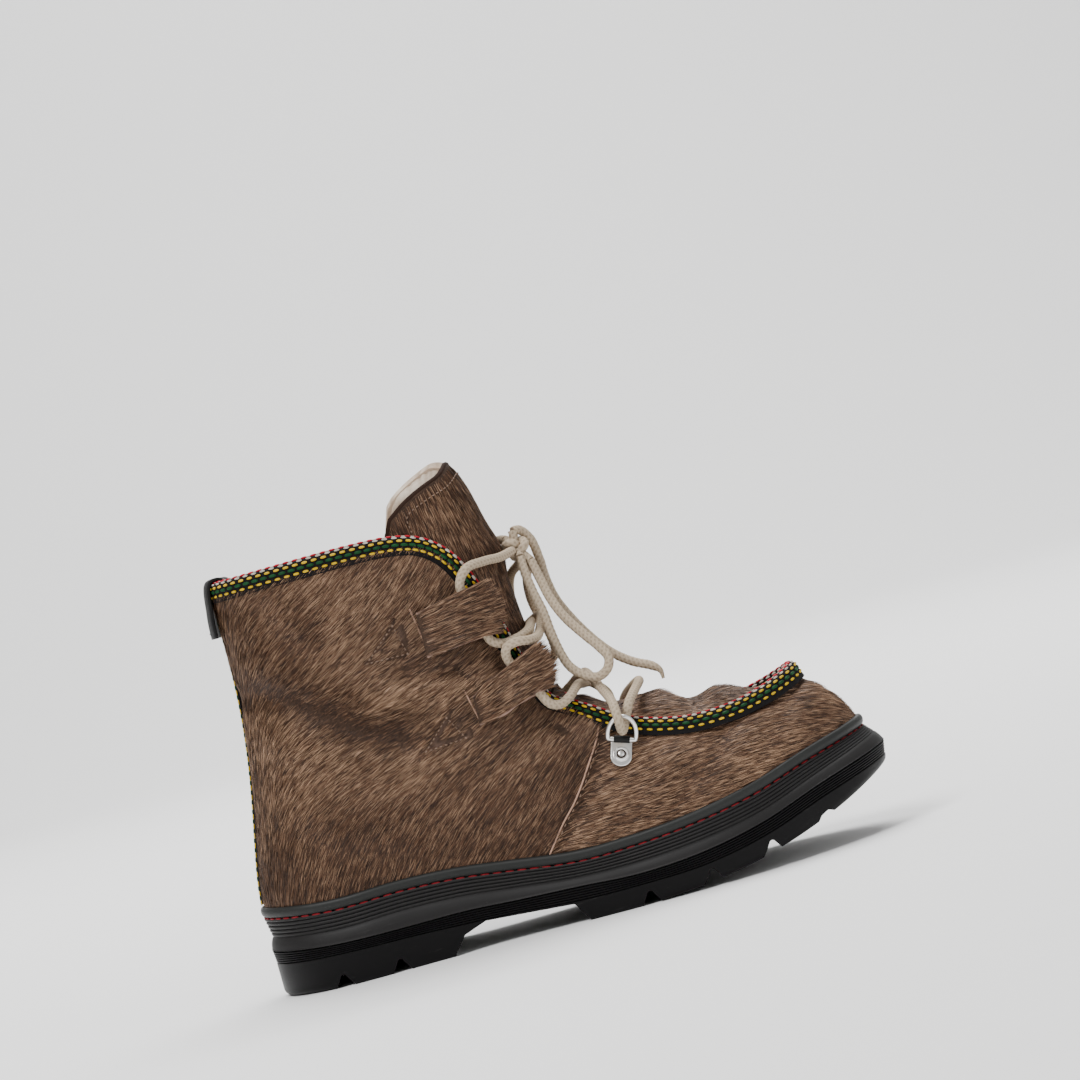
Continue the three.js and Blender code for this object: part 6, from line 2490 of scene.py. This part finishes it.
@dataclass
class Studio:
    """Pale floor and backdrop, soft lights and the photograph's camera."""

    tilt: float = 15.8
    aim: tuple = (0.020, 0.0, 0.160)
    distance: float = 1.5
    lens: float = 115.4

    def camera(self) -> None:
        """Level camera beside the boot, rolled so that the toe rises."""
        data = bpy.data.cameras.new("camera")
        data.lens, data.sensor_width, data.clip_end = self.lens, 36, 100
        obj = link(bpy.data.objects.new("camera", data))
        a = math.radians(self.tilt)
        right, up = Vector((math.cos(a), 0, -math.sin(a))), Vector((math.sin(a), 0, math.cos(a)))
        back = Vector((0, -1, 0))
        turn = Matrix((right, up, back)).transposed().to_4x4()
        obj.matrix_world = Matrix.Translation(Vector(self.aim) + back * self.distance) @ turn
        bpy.context.scene.camera = obj

    def lamp(self, name: str, place: Sequence[float], target: Sequence[float], size: float, power: float,
             colour: Sequence[float] = (1, 1, 1)) -> None:
        """A soft area light.

        Args:
            name: its name.
            place: where it stands.
            target: where it shines.
            size: its width in metres.
            power: its power in watts.
            colour: its colour.
        """
        data = bpy.data.lights.new(name, "AREA")
        data.shape, data.size, data.energy, data.color = "DISK", size, power, colour
        obj = link(bpy.data.objects.new(name, data))
        obj.location = place
        obj.rotation_euler = (Vector(target) - Vector(place)).to_track_quat("-Z", "Y").to_euler()

    def build(self) -> None:
        """Sets everything that isn't the boot."""
        world = bpy.data.worlds.new("studio")
        bpy.context.scene.world = world
        world.use_nodes = True
        background = world.node_tree.nodes["Background"]
        background.inputs["Color"].default_value = (1.0, 0.99, 0.98, 1)
        background.inputs["Strength"].default_value = 0.4
        profile = [(-4.0, 0.0), (2.4, 0.0)]
        profile += [(2.4 + 1.4 * math.sin(t), 1.4 - 1.4 * math.cos(t)) for t in np.linspace(0.1, math.pi / 2, 14)]
        profile += [(3.8, 6.0)]
        points = [(x, y, z) for y, z in profile for x in (-6.0, 6.0)]
        mesh = bpy.data.meshes.new("floor")
        mesh.from_pydata(points, [], [[2 * i, 2 * i + 1, 2 * i + 3, 2 * i + 2] for i in range(len(profile) - 1)])
        mesh.shade_smooth()
        s = Surface("pale_paper")
        cloud = s.noise(300, 2.0)
        mesh.materials.append(s.finish(Base_Color=s.mix(cloud, (0.92, 0.92, 0.92), (0.94, 0.94, 0.935)), Roughness=0.9,
                                       Specular_IOR_Level=0.1))
        floor = link(bpy.data.objects.new("floor", mesh))
        self.lamp("key", (-0.75, -1.0, 1.6), (0, 0, 0.1), 0.8, 34)
        self.lamp("top", (0.2, 0.7, 2.0), (0, 0.2, 0.0), 1.6, 44)
        self.lamp("fill", (1.5, -1.3, 0.7), (0, 0, 0.1), 1.2, 7)
        self.lamp("backdrop", (0.0, 1.4, 2.6), (0, 3.6, 0.9), 2.0, 90)


def finishes() -> dict[str, Material]:
    """Every material of the boot by its short name.

    Returns:
        The materials.
    """
    kinds = {
        "hair": CalfHair(), "hide": CalfSkin(), "cotton": Cotton(), "nickel": Nickel(),
        "outsole": Rubber("outsole_rubber", srgb(12, 11, 12), 0.42, 0.2),
        "midsole": Rubber("midsole_rubber", srgb(30, 29, 29), 0.5, 0.4, 0.15),
        "rand": Rubber("rand_rubber", srgb(35, 36, 35), 0.48, 0.3, 0.2),
        "tape": Yarn("tape_ground", srgb(16, 13, 15), 0.85),
        # Dark leather edge of the tongue, also used as painted shade in the rivets' grooves.
        "dark_edge": Leather("dark_edge", srgb(38, 24, 17), 0.7, 0.1),
        "cut_edge": Leather("cut_edge", srgb(158, 126, 108), 0.8, 0.1),
        "black_leather": Leather("black_leather", srgb(17, 16, 16), 0.42),
        "footbed": Leather("tan_footbed", srgb(176, 148, 104), 0.65),
        "fleece": Fleece("cream_fleece", srgb(236, 222, 204), srgb(176, 148, 124)),
    }
    yarns = {"red_yarn": (206, 14, 44), "white_yarn": (216, 206, 192), "yellow_yarn": (232, 190, 22),
             "green_yarn": (10, 74, 34), "red_thread": (130, 6, 22), "pale_thread": (150, 124, 106),
             "black_thread": (30, 29, 29)}
    kinds.update((name, Yarn(name, srgb(*colour))) for name, colour in yarns.items())
    return {name: kind.build() for name, kind in kinds.items()}


def main() -> None:
    """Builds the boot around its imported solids."""
    logging.basicConfig(level=logging.INFO, format="%(message)s")
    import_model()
    studio = Studio()
    studio.camera()
    kit = Kit(Last(), Shapes(), finishes())
    Lacing(kit).build()
    Sole(kit).build()
    Upper(kit).build()
    tape = Tape(kit)
    tape.build()
    tape.back()
    Front(kit).build()
    Straps(kit).build()
    Hardware(kit).build()
    Trim(kit).build()
    for shape in kit.shapes.all:
        bpy.data.objects.remove(shape)
    studio.build()


if __name__ == "__main__":
    main()
